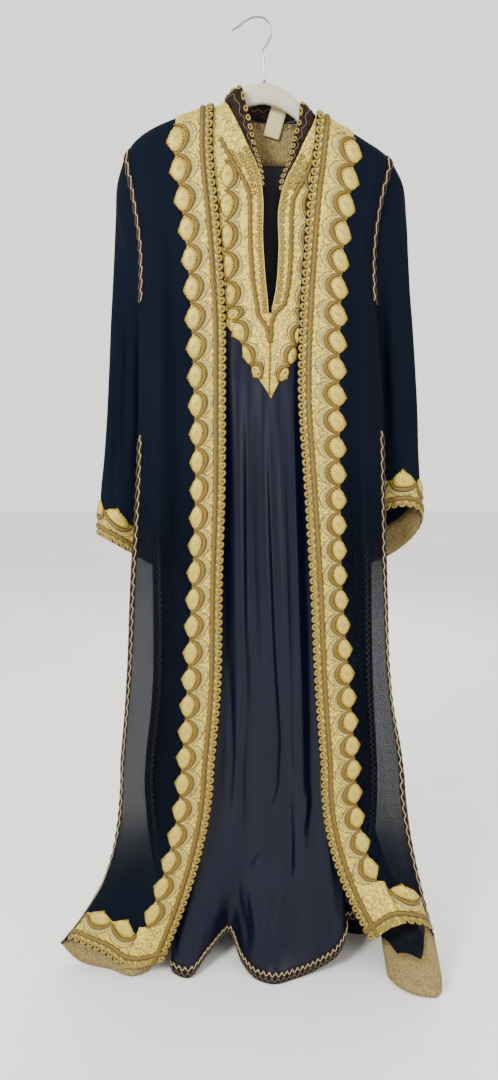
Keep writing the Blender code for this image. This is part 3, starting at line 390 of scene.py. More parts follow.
ROBE_FRONT_RIGHT_CREASES = (
    (8, 2.6, ((-0.141, -0.346), (-0.147, -0.599), (-0.161, -0.817), (-0.171, -1.044), (-0.184, -1.248))),
    (5, -2.8, ((-0.120, -0.419), (-0.120, -0.676), (-0.129, -0.913), (-0.142, -1.145))),
    (5, -2.2, ((-0.162, -0.464), (-0.168, -0.676), (-0.181, -0.881), (-0.196, -1.078))),
    (6, 2.4, ((-0.189, -0.944), (-0.206, -1.143), (-0.236, -1.350))),
    (5, -2.6, ((-0.210, -1.043), (-0.234, -1.246), (-0.265, -1.412))),
    (6, 2.6, ((-0.224, -1.139), (-0.256, -1.292), (-0.288, -1.415))),
    (5, -2.4, ((-0.179, -1.139), (-0.204, -1.310), (-0.226, -1.406))),
    (6, -1.8, ((-0.158, -0.230), (-0.150, -0.294), (-0.148, -0.359))),
    (5, 1.6, ((-0.170, -0.258), (-0.162, -0.330), (-0.161, -0.418))),
)
ROBE_FRONT_LEFT_CREASES = (
    (6, 2.4, ((0.152, -0.318), (0.160, -0.599), (0.170, -0.881), (0.190, -1.128), (0.230, -1.317))),
    (5, -2.8, ((0.167, -0.361), (0.174, -0.614), (0.182, -0.849), (0.202, -1.078), (0.245, -1.300))),
    (6, 2.2, ((0.188, -0.599), (0.194, -0.817), (0.216, -1.044), (0.257, -1.265))),
    (5, -2.2, ((0.148, -0.599), (0.155, -0.817), (0.171, -1.044), (0.190, -1.196))),
    (5, -2.2, ((0.216, -0.944), (0.233, -1.109), (0.277, -1.315))),
    (6, 2.4, ((0.229, -1.076), (0.259, -1.246), (0.292, -1.394))),
    (6, -1.8, ((0.172, -0.201), (0.165, -0.273), (0.163, -0.345))),
)
SLEEVE_RIGHT_CREASES = (
    (6, 3.0, ((-0.214, -0.337), (-0.226, -0.474), (-0.236, -0.615), (-0.241, -0.711))),
    (5, -3.2, ((-0.202, -0.413), (-0.209, -0.552), (-0.216, -0.679))),
    (5, -2.8, ((-0.236, -0.459), (-0.245, -0.599), (-0.252, -0.695))),
    (6, 2.6, ((-0.192, -0.459), (-0.197, -0.599), (-0.206, -0.728))),
    (5, -2.4, ((-0.223, -0.599), (-0.230, -0.695), (-0.233, -0.776))),
)
SLEEVE_LEFT_CREASES = (
    (6, 3.0, ((0.212, -0.337), (0.218, -0.474), (0.225, -0.615), (0.229, -0.663))),
    (5, -3.2, ((0.203, -0.413), (0.207, -0.536), (0.213, -0.647))),
    (5, -3.0, ((0.237, -0.398), (0.244, -0.536), (0.249, -0.631))),
    (6, 2.4, ((0.250, -0.413), (0.258, -0.536), (0.264, -0.631))),
    (5, 2.2, ((0.197, -0.505), (0.201, -0.615), (0.206, -0.711))),
)
DRESS_BACK_CREASES = (
    (11, 2.4, ((-0.100, -0.420), (-0.104, -0.760), (-0.112, -1.080))),
    (6, -2.4, ((-0.074, -0.360), (-0.070, -0.640), (-0.082, -0.930))),
    (10, 2.6, ((-0.040, -0.520), (-0.034, -0.880), (-0.044, -1.240))),
    (6, -2.6, ((0.004, -0.400), (0.012, -0.800), (0.006, -1.160))),
    (11, 2.4, ((0.044, -0.330), (0.050, -0.660), (0.058, -0.900))),
    (6, -2.4, ((0.086, -0.560), (0.092, -0.900), (0.104, -1.260))),
    (9, 2.2, ((0.124, -0.400), (0.128, -0.700), (0.138, -1.000))),
    (7, 2.8, ((-0.020, -1.260), (-0.034, -1.340), (-0.060, -1.400))),
    (6, 2.6, ((0.070, -1.300), (0.060, -1.380), (0.074, -1.450))),
)
ROBE_BACK_CREASES = (
    (9, 2.6, ((-0.150, -0.300), (-0.152, -0.640), (-0.166, -0.980))),
    (6, -2.6, ((-0.118, -0.240), (-0.122, -0.500), (-0.130, -0.820))),
    (10, 2.8, ((-0.080, -0.420), (-0.084, -0.820), (-0.090, -1.220))),
    (6, -2.6, ((-0.040, -0.260), (-0.044, -0.620), (-0.040, -1.020))),
    (10, 2.4, ((0.006, -0.500), (0.010, -0.860), (0.002, -1.260))),
    (6, -2.4, ((0.050, -0.230), (0.054, -0.560), (0.062, -0.900))),
    (9, 2.8, ((0.094, -0.360), (0.100, -0.720), (0.112, -1.120))),
    (6, -2.6, ((0.136, -0.300), (0.142, -0.700), (0.160, -1.080))),
    (8, 2.4, ((0.168, -0.420), (0.178, -0.780), (0.200, -1.140))),
    (8, 2.6, ((-0.190, -0.760), (-0.200, -1.020), (-0.220, -1.250))),
)

# Where the yoke's ochre cords run from the shoulder to the foot of the slit, seen from the front: x, z
YOKE_CORD_RIGHT = (
    (-0.0531, -0.1813),
    (-0.0353, -0.2154),
    (-0.0159, -0.2465),
    (-0.0103, -0.2618),
    (-0.0088, -0.3140),
    (-0.0047, -0.3852),
    (0.0029, -0.4395),
    (0.0216, -0.4811),
)
YOKE_CORD_LEFT = (
    (0.0905, -0.1900),
    (0.0797, -0.2273),
    (0.0691, -0.2465),
    (0.0560, -0.2700),
    (0.0533, -0.3140),
    (0.0507, -0.3852),
    (0.0433, -0.4245),
    (0.0216, -0.4811),
)
# The yoke's scalloped border: for each valley, its places furthest out and furthest in, x, z
YOKE_BORDER_RIGHT = (
    ((-0.0560, -0.2150), (-0.0130, -0.2150)),
    ((-0.0560, -0.2600), (-0.0110, -0.2600)),
    ((-0.0560, -0.3050), (-0.0100, -0.3050)),
    ((-0.0560, -0.3500), (-0.0100, -0.3500)),
    ((-0.0550, -0.3950), (-0.0070, -0.3870)),
    ((-0.0530, -0.4330), (-0.0040, -0.4200)),
    ((-0.0450, -0.4560), (0.0000, -0.4330)),
    ((-0.0293, -0.4870), (0.0150, -0.4660)),
    ((-0.0126, -0.5205), (0.0210, -0.4920)),
    ((0.0060, -0.5440), (0.0212, -0.5040)),
)
YOKE_BORDER_LEFT = (
    ((0.0950, -0.2150), (0.0560, -0.2150)),
    ((0.0950, -0.2600), (0.0550, -0.2600)),
    ((0.0930, -0.3050), (0.0540, -0.3050)),
    ((0.0920, -0.3500), (0.0520, -0.3500)),
    ((0.0910, -0.3950), (0.0490, -0.3870)),
    ((0.0900, -0.4330), (0.0450, -0.4200)),
    ((0.0851, -0.4600), (0.0400, -0.4384)),
    ((0.0711, -0.4905), (0.0290, -0.4696)),
    ((0.0573, -0.5210), (0.0225, -0.4960)),
    ((0.0386, -0.5470), (0.0216, -0.5080)),
)
YOKE_SEAM = ((0.0216, -0.4811), (0.0212, -0.5200), (0.0198, -0.5640))


def table_at(table, key, column):
    """A column of a table at this value of its first column, on a smooth curve through the rows."""
    rows = table if table[0][0] < table[-1][0] else table[::-1]
    if key <= rows[0][0]:
        return rows[0][column]
    if key >= rows[-1][0]:
        return rows[-1][column]
    at = next(k for k in range(len(rows) - 1) if rows[k + 1][0] >= key)
    low, high = rows[at], rows[at + 1]
    before, after = rows[max(at - 1, 0)], rows[min(at + 2, len(rows) - 1)]
    span = high[0] - low[0]
    share = (key - low[0]) / span
    slope_low = (high[column] - before[column]) / (high[0] - before[0]) * span
    slope_high = (after[column] - low[column]) / (after[0] - low[0]) * span
    square, cube = share**2, share**3
    return (
        (2 * cube - 3 * square + 1) * low[column]
        + (cube - 2 * square + share) * slope_low
        + (3 * square - 2 * cube) * high[column]
        + (cube - square) * slope_high
    )


def mix(a, b, share):
    return a + (b - a) * share


def shoulder(x):
    return table_at(SHOULDERS, x, 1)


def rolled(drop):
    """How much of its depth the cloth has reached this far below the top of the shoulder."""
    return math.sqrt(1 - (1 - min(max(drop, 0.0) / SHOULDER_ROLL, 1)) ** 2)


def row_shares(rows, drops):
    """How far down its lines each row of a panel lies, with two rows at the hem for the hem band."""
    top = [drop / DROP for drop in drops]
    band = 1 - HEM_BAND / DROP
    steps = rows - len(top) - 1
    even = [mix(top[-1], band, step / steps) for step in range(1, steps + 1)]
    return top + even + [(1 + band) / 2, 1.0]


def hang(place, top_z, hem, late, share, sweep_z):
    """One point of a line that hangs from top_z to its hem. place gives its x and y at a height."""
    z = mix(top_z, hem[2], share)
    if z >= sweep_z:
        x, y = place(z)
        return (x, y, z)
    amount = ((sweep_z - z) / (sweep_z - hem[2])) ** late
    x, y = place(sweep_z)
    return (mix(x, hem[0], amount), mix(y, hem[1], amount), z)


def robe_front(lines, sign, creases):
    edge, band, side = (1, 2, 3) if sign < 0 else (4, 5, 6)
    rows = []
    for share in row_shares(ROBE_ROWS, ROBE_DROPS):
        row = []
        for kind, beyond, weight, *hem, late in lines:

            def across(z, kind=kind, beyond=beyond):
                if kind == "edge":
                    return table_at(ROBE_X, z, edge)
                return mix(table_at(ROBE_X, z, band), table_at(ROBE_X, z, side), beyond)

            def place(z, weight=weight, beyond=beyond, across=across):
                front, at_side = table_at(ROBE_Y, z, 1), table_at(ROBE_Y, z, 3)
                depth = mix(front, at_side, beyond**4) + weight * table_at(ROBE_Y, z, 5)
                return across(z), depth * rolled(shoulder(across(z)) - z) - SHOULDER_GAP

            row.append(hang(place, shoulder(across(TOP_Z)), hem, late, share, ROBE_SWEEP_Z))
        rows.append(row[::-1] if sign < 0 else row)
    return Cloth(rows, 1, creases)


def neck_dip(x, right, left):
    """How far a back neckline lies below the shoulder line."""
    share = (x - right) / (left - right)
    return NECK_DIP * math.sin(math.pi * share) ** 0.7 if 0 < share < 1 else 0.0


def hanging_back(table, rows, drops, x_columns, depths, lower, neck, sweep_z, creases):
    """The back of the robe or of the dress."""
    x_table, y_table = depths
    made = []
    for share in row_shares(rows, drops):
        row = []
        for width_share, weight, *hem, late in table:

            def across(z, width_share=width_share):
                return mix(*(table_at(x_table, z, column) for column in x_columns), width_share)

            def place(z, width_share=width_share, weight=weight, across=across):
                rim = abs(2 * width_share - 1) ** 3
                depth = mix(table_at(y_table, z, 2), table_at(y_table, z, 4), rim)
                depth += weight * table_at(y_table, z, 5)
                return across(z), depth * rolled(shoulder(across(z)) - lower - z) + SHOULDER_GAP

            top_x = across(TOP_Z)
            top_z = shoulder(top_x) - lower - neck_dip(top_x, *neck)
            row.append(hang(place, top_z, hem, late, share, sweep_z))
        made.append(row)
    return Cloth(made, -1, creases)


def dress_front():
    """The lines run from the right side to the slit, then from the slit to the left side."""
    lines = [(1, 2, line) for line in DRESS_FRONT_RIGHT[::-1]] + [(3, 4, line) for line in DRESS_FRONT_LEFT]
    slit_share = (DRESS_TOP_Z - SLIT_END_Z) / (DRESS_TOP_Z - FLOOR_Z)
    shares = row_shares(DRESS_ROWS, DRESS_DROPS)
    nearest = min(range(len(shares)), key=lambda row: abs(shares[row] - slit_share))
    rows = []
    for number, share in enumerate(shares):
        row = []
        for x_column, side_column, (width_share, weight, *hem, late) in lines:

            def across(z, ends=(x_column, side_column), width_share=width_share):
                return mix(table_at(DRESS_X, z, ends[0]), table_at(DRESS_X, z, ends[1]), width_share)

            def place(z, weight=weight, width_share=width_share, across=across):
                depth = mix(table_at(DRESS_Y, z, 1), table_at(DRESS_Y, z, 3), width_share**4)
                depth += weight * table_at(DRESS_Y, z, 5)
                return across(z), depth * rolled(shoulder(across(z)) - DRESS_DROP - z) - SHOULDER_GAP

            top_z = shoulder(across(TOP_Z)) - DRESS_DROP
            # The row at the slit's end lies at its height on every line
            if number == nearest:
                share = (top_z - SLIT_END_Z) / (top_z - hem[2])
            row.append(hang(place, top_z, hem, late, share, DRESS_SWEEP_Z))
        rows.append(row)
    return Cloth(rows, 1, DRESS_FRONT_CREASES), nearest


def sleeve(front, back, table, last, outward, creases):
    """A tube from the armhole's edge to the cuff. Its lines run down the armhole's front and up its back."""
    edge = (front.lines, back.lines) if last else (0, 0)
    down = [Vector(front.points[row][edge[0]]) for row in range(ARMHOLE_ROWS + 1)]
    up = [Vector(back.points[row][edge[1]]) for row in range(ARMHOLE_ROWS + 1)]
    top, bottom = (down[0] + up[0]) / 2, (down[-1] + up[-1]) / 2
    loop = [top, *down[1:-1], bottom, *up[-2:0:-1], top]
    angles = []
    for number, point in enumerate(loop):
        share = min(max((top.z - point.z) / (top.z - bottom.z), 0.0), 1.0)
        angle = math.acos(1 - 2 * share)
        angles.append(angle if number <= ARMHOLE_ROWS else 2 * math.pi - angle)
    step = Vector((outward * SEAM_GAP, 0, 0))
    rings = [[tuple(point + step) for point in loop]]
    for outer_x, outer_z, outer_y, inner_x, inner_z, inner_y, depth, higher in table:
        outer, inner = Vector((outer_x, outer_y, outer_z)), Vector((inner_x, inner_y, inner_z))
        centre, half = (outer + inner) / 2, (outer - inner) / 2
        front_way = Vector((0, -depth, higher))
        ring = [centre + math.cos(angle) * half + math.sin(angle) * front_way for angle in angles]
        rings.append([tuple(point) for point in ring])
    return Cloth(rings, 1 if outward < 0 else -1, creases, ring=True)


def curve(before, low, high, after, share):
    """From low to high on a smooth curve that also minds its neighbours, however far apart they are."""
    first, span, last = (
        np.linalg.norm(b - a, axis=-1, keepdims=True) + 1e-9
        for a, b in ((before, low), (low, high), (high, after))
    )
    slope_low = ((low - before) / first * span + (high - low) / span * first) / (first + span) * span
    slope_high = ((high - low) / span * last + (after - high) / last * span) / (span + last) * span
    square, cube = share**2, share**3
    return (
        (2 * cube - 3 * square + 1) * low
        + (cube - 2 * square + share) * slope_low
        + (3 * square - 2 * cube) * high
        + (cube - square) * slope_high
    )


def running_length(path):
    """How far along a path each of its points lies."""
    return np.concatenate([[0.0], np.cumsum(np.linalg.norm(np.diff(path, axis=0), axis=1))])


def crease_depth(places, creases):
    """How far the creases move places in or out."""
    flat = places[:, [0, 2]]
    depth = np.zeros(len(places))
    for width, height, route in creases:
        route = np.array(route)
        starts = running_length(route)
        nearest = np.full(len(places), 1e9)
        along = np.zeros(len(places))
        for step, length in enumerate(np.linalg.norm(np.diff(route, axis=0), axis=1)):
            way = (route[step + 1] - route[step]) / length
            share = np.clip((flat - route[step]) @ way, 0, length)
            away = np.linalg.norm(flat - route[step] - share[:, None] * way, axis=1)
            closer = away < nearest
            nearest = np.where(closer, away, nearest)
            along = np.where(closer, (starts[step] + share) / starts[-1], along)
        fading = np.sin(np.pi * np.clip(along, 0.02, 0.98)) ** 0.6
        depth += height * MM * np.exp(-((nearest / (width * MM)) ** 2)) * fading
    return depth


class Cloth:
    """Cloth over a grid of points, points[row][line], that runs between them in smooth curves."""

    def __init__(self, points, outward, creases=(), ring=False):
        self.points = points
        self.outward = outward
        self.creases = creases
        self.ring = ring
        self.rows = len(points) - 1
        self.lines = len(points[0]) - 1
        grid = np.array(points)
        grid = np.concatenate([2 * grid[:1] - grid[1:2], grid, 2 * grid[-1:] - grid[-2:-1]])
        if ring:
            left, right = grid[:, -2:-1], grid[:, 1:2]
        else:
            left, right = 2 * grid[:, :1] - grid[:, 1:2], 2 * grid[:, -1:] - grid[:, -2:-1]
        self.padded = np.concatenate([left, grid, right], axis=1)

    def smooth(self, lines, rows):
        if self.ring:
            lines = lines % self.lines
        line = np.clip(np.floor(lines).astype(int), 0, self.lines - 1)
        row = np.clip(np.floor(rows).astype(int), 0, self.rows - 1)
        down, across = (rows - row)[:, None], (lines - line)[:, None]
        columns = [curve(*(self.padded[row + k, line + m] for k in range(4)), down) for m in range(4)]
        return curve(*columns, across)

    def at(self, lines, rows, lift=0.0):
        """Places on the cloth, moved out by lift."""
        lines, rows, lift = np.broadcast_arrays(np.asarray(lines, float), np.asarray(rows, float), lift)
        shape = lines.shape
        lines, rows = lines.ravel(), rows.ravel()
        step = 0.03
        here = self.smooth(lines, rows)
        across = self.smooth(lines + step, rows) - self.smooth(lines - step, rows)
        down = self.smooth(lines, rows + step) - self.smooth(lines, rows - step)
        out = self.outward * np.cross(down, across)
        out /= np.linalg.norm(out, axis=1, keepdims=True) + 1e-12
        moved = here + out * (lift.ravel() + crease_depth(here, self.creases))[:, None]
        return moved.reshape(*shape, 3)

    def hem_row(self, lines, distance):
        """The rows that lie this far above the hem."""
        rows = np.linspace(self.rows - 3.0, self.rows, 90)
        places = self.at(np.asarray(lines, float)[:, None], rows[None, :])
        steps = np.linalg.norm(np.diff(places, axis=1), axis=2)
        sums = np.cumsum(steps[:, ::-1], axis=1)[:, ::-1]
        below = np.concatenate([sums, np.zeros((len(steps), 1))], axis=1)
        return np.array([np.interp(-distance, -far, rows) for far in below])

    def side_line(self, rows, distance, last):
        """The lines that lie this far from the first or the last line."""
        lines = np.linspace(0, 2.5, 90)
        if last:
            lines = self.lines - lines
        places = self.at(lines[None, :], np.asarray(rows, float)[:, None])
        steps = np.linalg.norm(np.diff(places, axis=1), axis=2)
        far = np.concatenate([np.zeros((len(steps), 1)), np.cumsum(steps, axis=1)], axis=1)
        return np.array([np.interp(distance, one, lines) for one in far])

    def under(self, places, line):
        """The line and row under places seen from the front, x and z, starting the search at this line."""
        places = np.array(places)
        lines = np.full(len(places), float(line))
        rows = np.clip((-0.12 - places[:, 1]) / DROP * self.rows + 3, 0, self.rows)
        step = 0.02
        for _ in range(30):
            here = self.smooth(lines, rows)[:, [0, 2]]
            across = (self.smooth(lines + step, rows)[:, [0, 2]] - here) / step
            down = (self.smooth(lines, rows + step)[:, [0, 2]] - here) / step
            left = places - here
            scale = across[:, 0] * down[:, 1] - down[:, 0] * across[:, 1]
            line_step = (left[:, 0] * down[:, 1] - down[:, 0] * left[:, 1]) / scale
            row_step = (across[:, 0] * left[:, 1] - left[:, 0] * across[:, 1]) / scale
            lines = np.clip(lines + np.clip(line_step, -0.7, 0.7), 0, self.lines)
            rows = np.clip(rows + np.clip(row_step, -1.5, 1.5), 0, self.rows)
        return np.stack([lines, rows], axis=1)


class Ribbon:
    """A strip of a cloth. q runs along it, and w across it, from 0 at its straight edge to 1 at the other.

    On a scalloped band q is one for each scallop. low and high are the lines and rows of its two edges.
    """

    def __init__(self, surface, q, low, high, base=LIFT):
        self.surface = surface
        self.base = base
        self.q = np.array(q, float)
        self.low = np.array(low, float)
        self.high = np.array(high, float)
        self.fine = np.linspace(self.q[0], self.q[-1], 30 * len(self.q))
        edge = self.at(self.fine, 0.0, 0.0)
        self.metres = running_length(edge)
        self.width = np.linalg.norm(self.at(self.fine, 1.0, 0.0) - edge, axis=1)
        self.pitch = np.gradient(self.metres, self.fine)

    def metres_at(self, q):
        return np.interp(q, self.fine, self.metres)

    def width_at(self, q):
        return np.interp(q, self.fine, self.width)

    def pitch_at(self, q):
        return np.interp(q, self.fine, self.pitch)

    def at(self, q, w, lift):
        """Places on the ribbon. Past either end of its table it stays at that end."""
        q, w = np.broadcast_arrays(np.asarray(q, float), np.asarray(w, float))
        low, high = (
            [np.interp(q.ravel(), self.q, edge[:, k]).reshape(q.shape) for k in range(2)]
            for edge in (self.low, self.high)
        )
        return self.surface.at(mix(low[0], high[0], w), mix(low[1], high[1], w), self.base + lift)

    def spaced(self, pitch, first=None, last=None):
        """Even places along the ribbon, about pitch metres apart."""
        start = self.metres_at(self.q[0] if first is None else first)
        end = self.metres_at(self.q[-1] if last is None else last)
        count = max(int(round((end - start) / pitch)), 1)
        return np.interp(start + (np.arange(count) + 0.5) * (end - start) / count, self.metres, self.fine)


def merge_into(maker, piece):
    mesh = bpy.data.meshes.new("part")
    piece.to_mesh(mesh)
    piece.free()
    maker.from_mesh(mesh)
    bpy.data.meshes.remove(mesh)


def new_maker():
    maker = bmesh.new()
    maker.loops.layers.uv.new("UVMap")
    return maker


def smooth_faces(maker):
    for face in maker.faces:
        face.smooth = True


def new_grid(places, uv=None, look=0):
    """A sheet over rows of places."""
    maker = new_maker()
    bmesh.ops.create_grid(maker, x_segments=places.shape[1] - 1, y_segments=places.shape[0] - 1, size=1)
    for vertex, place in zip(maker.verts, places[::-1].reshape(-1, 3).tolist()):
        vertex.co = place
    layer = maker.loops.layers.uv[0]
    spots = None if uv is None else uv[::-1].reshape(-1, 2).tolist()
    maker.verts.index_update()
    smooth_faces(maker)
    for face in maker.faces:
        face.material_index = look
        if spots:
            for loop in face.loops:
                loop[layer].uv = spots[loop.vert.index]
    return maker


def add_tube(maker, places, look=0, uv=None):
    """A sheet over rows of places whose sides meet and whose ends are closed."""
    piece = new_grid(places, uv, look)
    bmesh.ops.remove_doubles(piece, verts=piece.verts[:], dist=1e-7)
    rims = [edge for edge in piece.edges if edge.is_boundary]
    made = bmesh.ops.holes_fill(piece, edges=rims)
    for face in made["faces"]:
        face.material_index = look
    merge_into(maker, piece)


def tube(maker, path, radius, look, out=None, sides=6, flatness=1.0, twist=None):
    """A round cord along a path, as wide as its radius at each point. A twist gives it two strands."""
    path = np.asarray(path)
    ahead = np.gradient(path, axis=0)
    ahead /= np.linalg.norm(ahead, axis=1, keepdims=True)
    out = np.tile([0.0, -1.0, 0.0], (len(path), 1)) if out is None else out
    beside = np.cross(ahead, out)
    beside /= np.linalg.norm(beside, axis=1, keepdims=True)
    out = np.cross(beside, ahead)
    angle = np.linspace(0, 2 * np.pi, sides + 1)
    radius = np.broadcast_to(radius, len(path))[:, None] * np.ones(sides + 1)
    metres = running_length(path)
    if twist:
        radius = radius * (1 + 0.2 * np.cos(2 * angle[None, :] - 2 * np.pi * metres[:, None] / twist))
        radius[:, -1] = radius[:, 0]
    ring = (
        path[:, None]
        + (radius * np.cos(angle))[..., None] * beside[:, None]
        + (radius * np.sin(angle) * flatness)[..., None] * out[:, None]
    )
    ring[:, -1] = ring[:, 0]
    uv = np.stack(np.broadcast_arrays(metres[:, None], (angle * radius[0, 0])[None, :]), axis=-1)
    add_tube(maker, ring, look, uv)


def cord(maker, ribbon, q, w, radius, look, sides=6, flatness=1.0, twist=None, sink=0.3, lift=0.0):
    """A cord sewn on a ribbon, sunk into it by a share of its radius."""
    high = lift + np.broadcast_to(radius, np.shape(q)) * flatness * (1 - sink)
    path = ribbon.at(q, w, high)
    out = ribbon.at(q, w, high + MM) - path
    tube(maker, path, radius, look, out, sides, flatness, twist)


def strip(maker, ribbon, q, low, high, lift, wall, look, across=8):
    """A flat strip on a ribbon between two edges, with its wall under it."""
    w = np.linspace(0, 1, across + 1)
    low, high = np.broadcast_to(low, len(q)), np.broadcast_to(high, len(q))
    top = low[:, None] + (high - low)[:, None] * w[None, :]
    q_top = np.broadcast_to(q[:, None], top.shape)
    rounded = 1 - 0.5 * (np.abs(2 * w - 1) ** 8)
    upper = ribbon.at(q_top, top, lift + wall * rounded[None, :])
    lower = ribbon.at(q_top[:, ::-2], top[:, ::-2], np.full(top[:, ::-2].shape, lift))
    places = np.concatenate([upper, lower, upper[:, :1]], axis=1)
    spread = np.concatenate([top, top[:, ::-2], top[:, :1]], axis=1) * ribbon.width_at(q)[:, None]
    uv = np.stack(np.broadcast_arrays(ribbon.metres_at(q)[:, None], spread), axis=-1)
    add_tube(maker, places, look, uv)


def medallion_shape():
    """A dome with a pointed tip: x in scallops along the band, y in shares of its width, z in metres."""
    shape = new_maker()
    bmesh.ops.create_uvsphere(shape, u_segments=28, v_segments=8, radius=1, calc_uvs=False)
    layer = shape.loops.layers.uv[0]
    smooth_faces(shape)
    for face in shape.faces:
        for loop in face.loops:
            loop[layer].uv = (loop.vert.co.x, loop.vert.co.y)
    for vertex in shape.verts:
        x, y, z = vertex.co
        tip = max(y, 0.0) ** 40
        vertex.co = (0.415 * x, 0.175 * y + 0.075 * tip, (3.6 if z > 0 else 1.0) * MM * z)
    return shape


def ring_shape(radius, thickness, parts=9, sides=5):
    """A small round loop of thread."""
    shape = new_maker()
    bmesh.ops.create_circle(shape, segments=sides, radius=thickness)
    for vertex in shape.verts:
        x, y, z = vertex.co
        vertex.co = (radius + x, 0, y)
    bmesh.ops.spin(
        shape,
        geom=shape.verts[:] + shape.edges[:],
        cent=(0, 0, 0),
        axis=(0, 0, 1),
        angle=2 * math.pi,
        steps=parts,
        use_merge=True,
    )
    bmesh.ops.recalc_face_normals(shape, faces=shape.faces[:])
    smooth_faces(shape)
    return shape


def scatter(maker, ribbon, shape, q, w, look, lift=0.0, in_scallops=False):
    """Copies of a small shape on a ribbon, each bent to it. The shape is freed."""
    q, w = np.broadcast_arrays(np.asarray(q, float), np.asarray(w, float))
    local = np.array([vertex.co for vertex in shape.verts])
    a, b, high = local[None, :, 0], local[None, :, 1], local[None, :, 2]
    if not in_scallops:
        a = a / ribbon.pitch_at(q)[:, None]
        b = b / ribbon.width_at(q)[:, None]
    places = ribbon.at(q[:, None] + a, w[:, None] + b, lift + np.broadcast_to(high, (len(q), len(local))))
    for face in shape.faces:
        face.material_index = look
    mesh = bpy.data.meshes.new("shape")
    shape.to_mesh(mesh)
    shape.free()
    piece = new_maker()
    for _ in range(len(q)):
        piece.from_mesh(mesh)
    bpy.data.meshes.remove(mesh)
    for vertex, place in zip(piece.verts, places.reshape(-1, 3).tolist()):
        vertex.co = place
    merge_into(maker, piece)


def put_in_scene(name, data):
    made = bpy.data.objects.new(name, data)
    bpy.context.collection.objects.link(made)
    return made


def mesh_piece(name, maker):
    mesh = bpy.data.meshes.new(name)
    maker.to_mesh(mesh)
    maker.free()
    return put_in_scene(name, mesh)


def finish(name, maker, looks, nodes=(), recalculate=True):
    if recalculate:
        bmesh.ops.recalc_face_normals(maker, faces=maker.faces[:])
    piece = mesh_piece(name, maker)
    for look in looks:
        piece.data.materials.append(look)
    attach(piece, "root")
    if nodes:
        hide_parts(*nodes)
    return piece


def add_wall(piece, thickness):
    solid = piece.modifiers.new("Wall", "SOLIDIFY")
    solid.thickness = thickness
    solid.offset = -1


def hung_cloth(name, surface, fine, look, wall, nodes, skip=None):
    """A thin shell on a panel's own form, with its creases."""
    across, down = surface.lines * fine[0], surface.rows * fine[1]
    lines, rows = np.linspace(0, surface.lines, across + 1), np.linspace(0, surface.rows, down + 1)
    places = surface.at(lines[None, :], rows[:, None])
    if surface.ring:
        places[:, -1] = places[:, 0]
    steps_across = np.linalg.norm(np.diff(places, axis=1), axis=2)
    steps_down = np.linalg.norm(np.diff(places, axis=0), axis=2)
    side = running_length(places[down // 2])
    long = running_length(places[:, across // 2])
    uv = np.stack(np.broadcast_arrays(side[None, :], -long[:, None]), axis=-1)
    maker = new_grid(places, uv)
    if skip:
        gone = [
            face
            for number, face in enumerate(maker.faces)
            if skip((down - 1 - number // across) / fine[1], (number % across) / fine[0])
        ]
        bmesh.ops.delete(maker, geom=gone, context="FACES")
    if surface.ring:
        bmesh.ops.remove_doubles(maker, verts=maker.verts[:], dist=1e-7)
    if surface.outward < 0:
        bmesh.ops.reverse_faces(maker, faces=maker.faces[:])
    area = round(sum(face.calc_area() for face in maker.faces), 3)
    piece = finish(name, maker, [look], nodes, recalculate=False)
    add_wall(piece, wall)


# Looks

WAVE_LENGTH = 0.314  # of a wave at scale 1, in metres


class Look:
    """A material and the nodes that it is made from."""

    def __init__(self, name, **values):
        self.material = bpy.data.materials.new(name)
        self.material.use_nodes = True
        self.nodes = self.material.node_tree.nodes
        self.links = self.material.node_tree.links
        self.shader = self.nodes["Principled BSDF"]
        for socket, value in values.items():
            self.shader.inputs[socket.replace("_", " ")].default_value = value

    def node(self, kind, inputs=(), **settings):
        made = self.nodes.new(kind)
        for key, value in settings.items():
            setattr(made, key, value)
        for socket, value in dict(inputs).items():
            if isinstance(value, bpy.types.NodeSocket):
                self.links.new(value, made.inputs[socket])
            else:
                made.inputs[socket].default_value = value
        return made

    def surface(self, stretch=(1, 1, 1), turn=0.0, kind="UV"):
        """Where a place lies on the piece, in metres."""
        place = self.node("ShaderNodeTexCoord").outputs[kind]
        return self.node(
            "ShaderNodeMapping", {"Vector": place, "Scale": stretch, "Rotation": (0, 0, turn)}
        ).outputs[0]

    def noise(self, place, scale, detail=3.0, roughness=0.55):
        return self.node(
            "ShaderNodeTexNoise", {"Vector": place, "Scale": scale, "Detail": detail, "Roughness": roughness}
        ).outputs["Fac"]

    def threads(self, place, pitch, distortion, detail):
        """Bands, one pitch apart."""
        return self.node(
            "ShaderNodeTexWave",
            {"Vector": place, "Scale": WAVE_LENGTH / pitch, "Distortion": distortion, "Detail": detail},
        ).outputs["Fac"]

    def ramp(self, share, *stops):
        ramp = self.node("ShaderNodeValToRGB", {"Fac": share})
        elements = ramp.color_ramp.elements
        for number, (position, colour) in enumerate(stops):
            element = elements[number] if number < 2 else elements.new(position)
            element.position = position
            element.color = (*colour, 1)
        return ramp.outputs["Color"]

    def blend(self, share, first, second, mode="MIX"):
        made = self.node("ShaderNodeMix", data_type="RGBA", blend_type=mode)
        for number, value in ((0, share), (6, first), (7, second)):
            if isinstance(value, bpy.types.NodeSocket):
                self.links.new(value, made.inputs[number])
            else:
                made.inputs[number].default_value = value if number == 0 else (*value, 1)
        return made.outputs[2]

    def sums(self, operation, first, second):
        return self.node("ShaderNodeMath", {0: first, 1: second}, operation=operation).outputs[0]

    def colour(self, socket):
        self.links.new(socket, self.shader.inputs["Base Color"])

    def bump(self, height, distance, strength=1.0):
        made = self.node("ShaderNodeBump", {"Height": height, "Distance": distance, "Strength": strength})
        self.links.new(made.outputs[0], self.shader.inputs["Normal"])


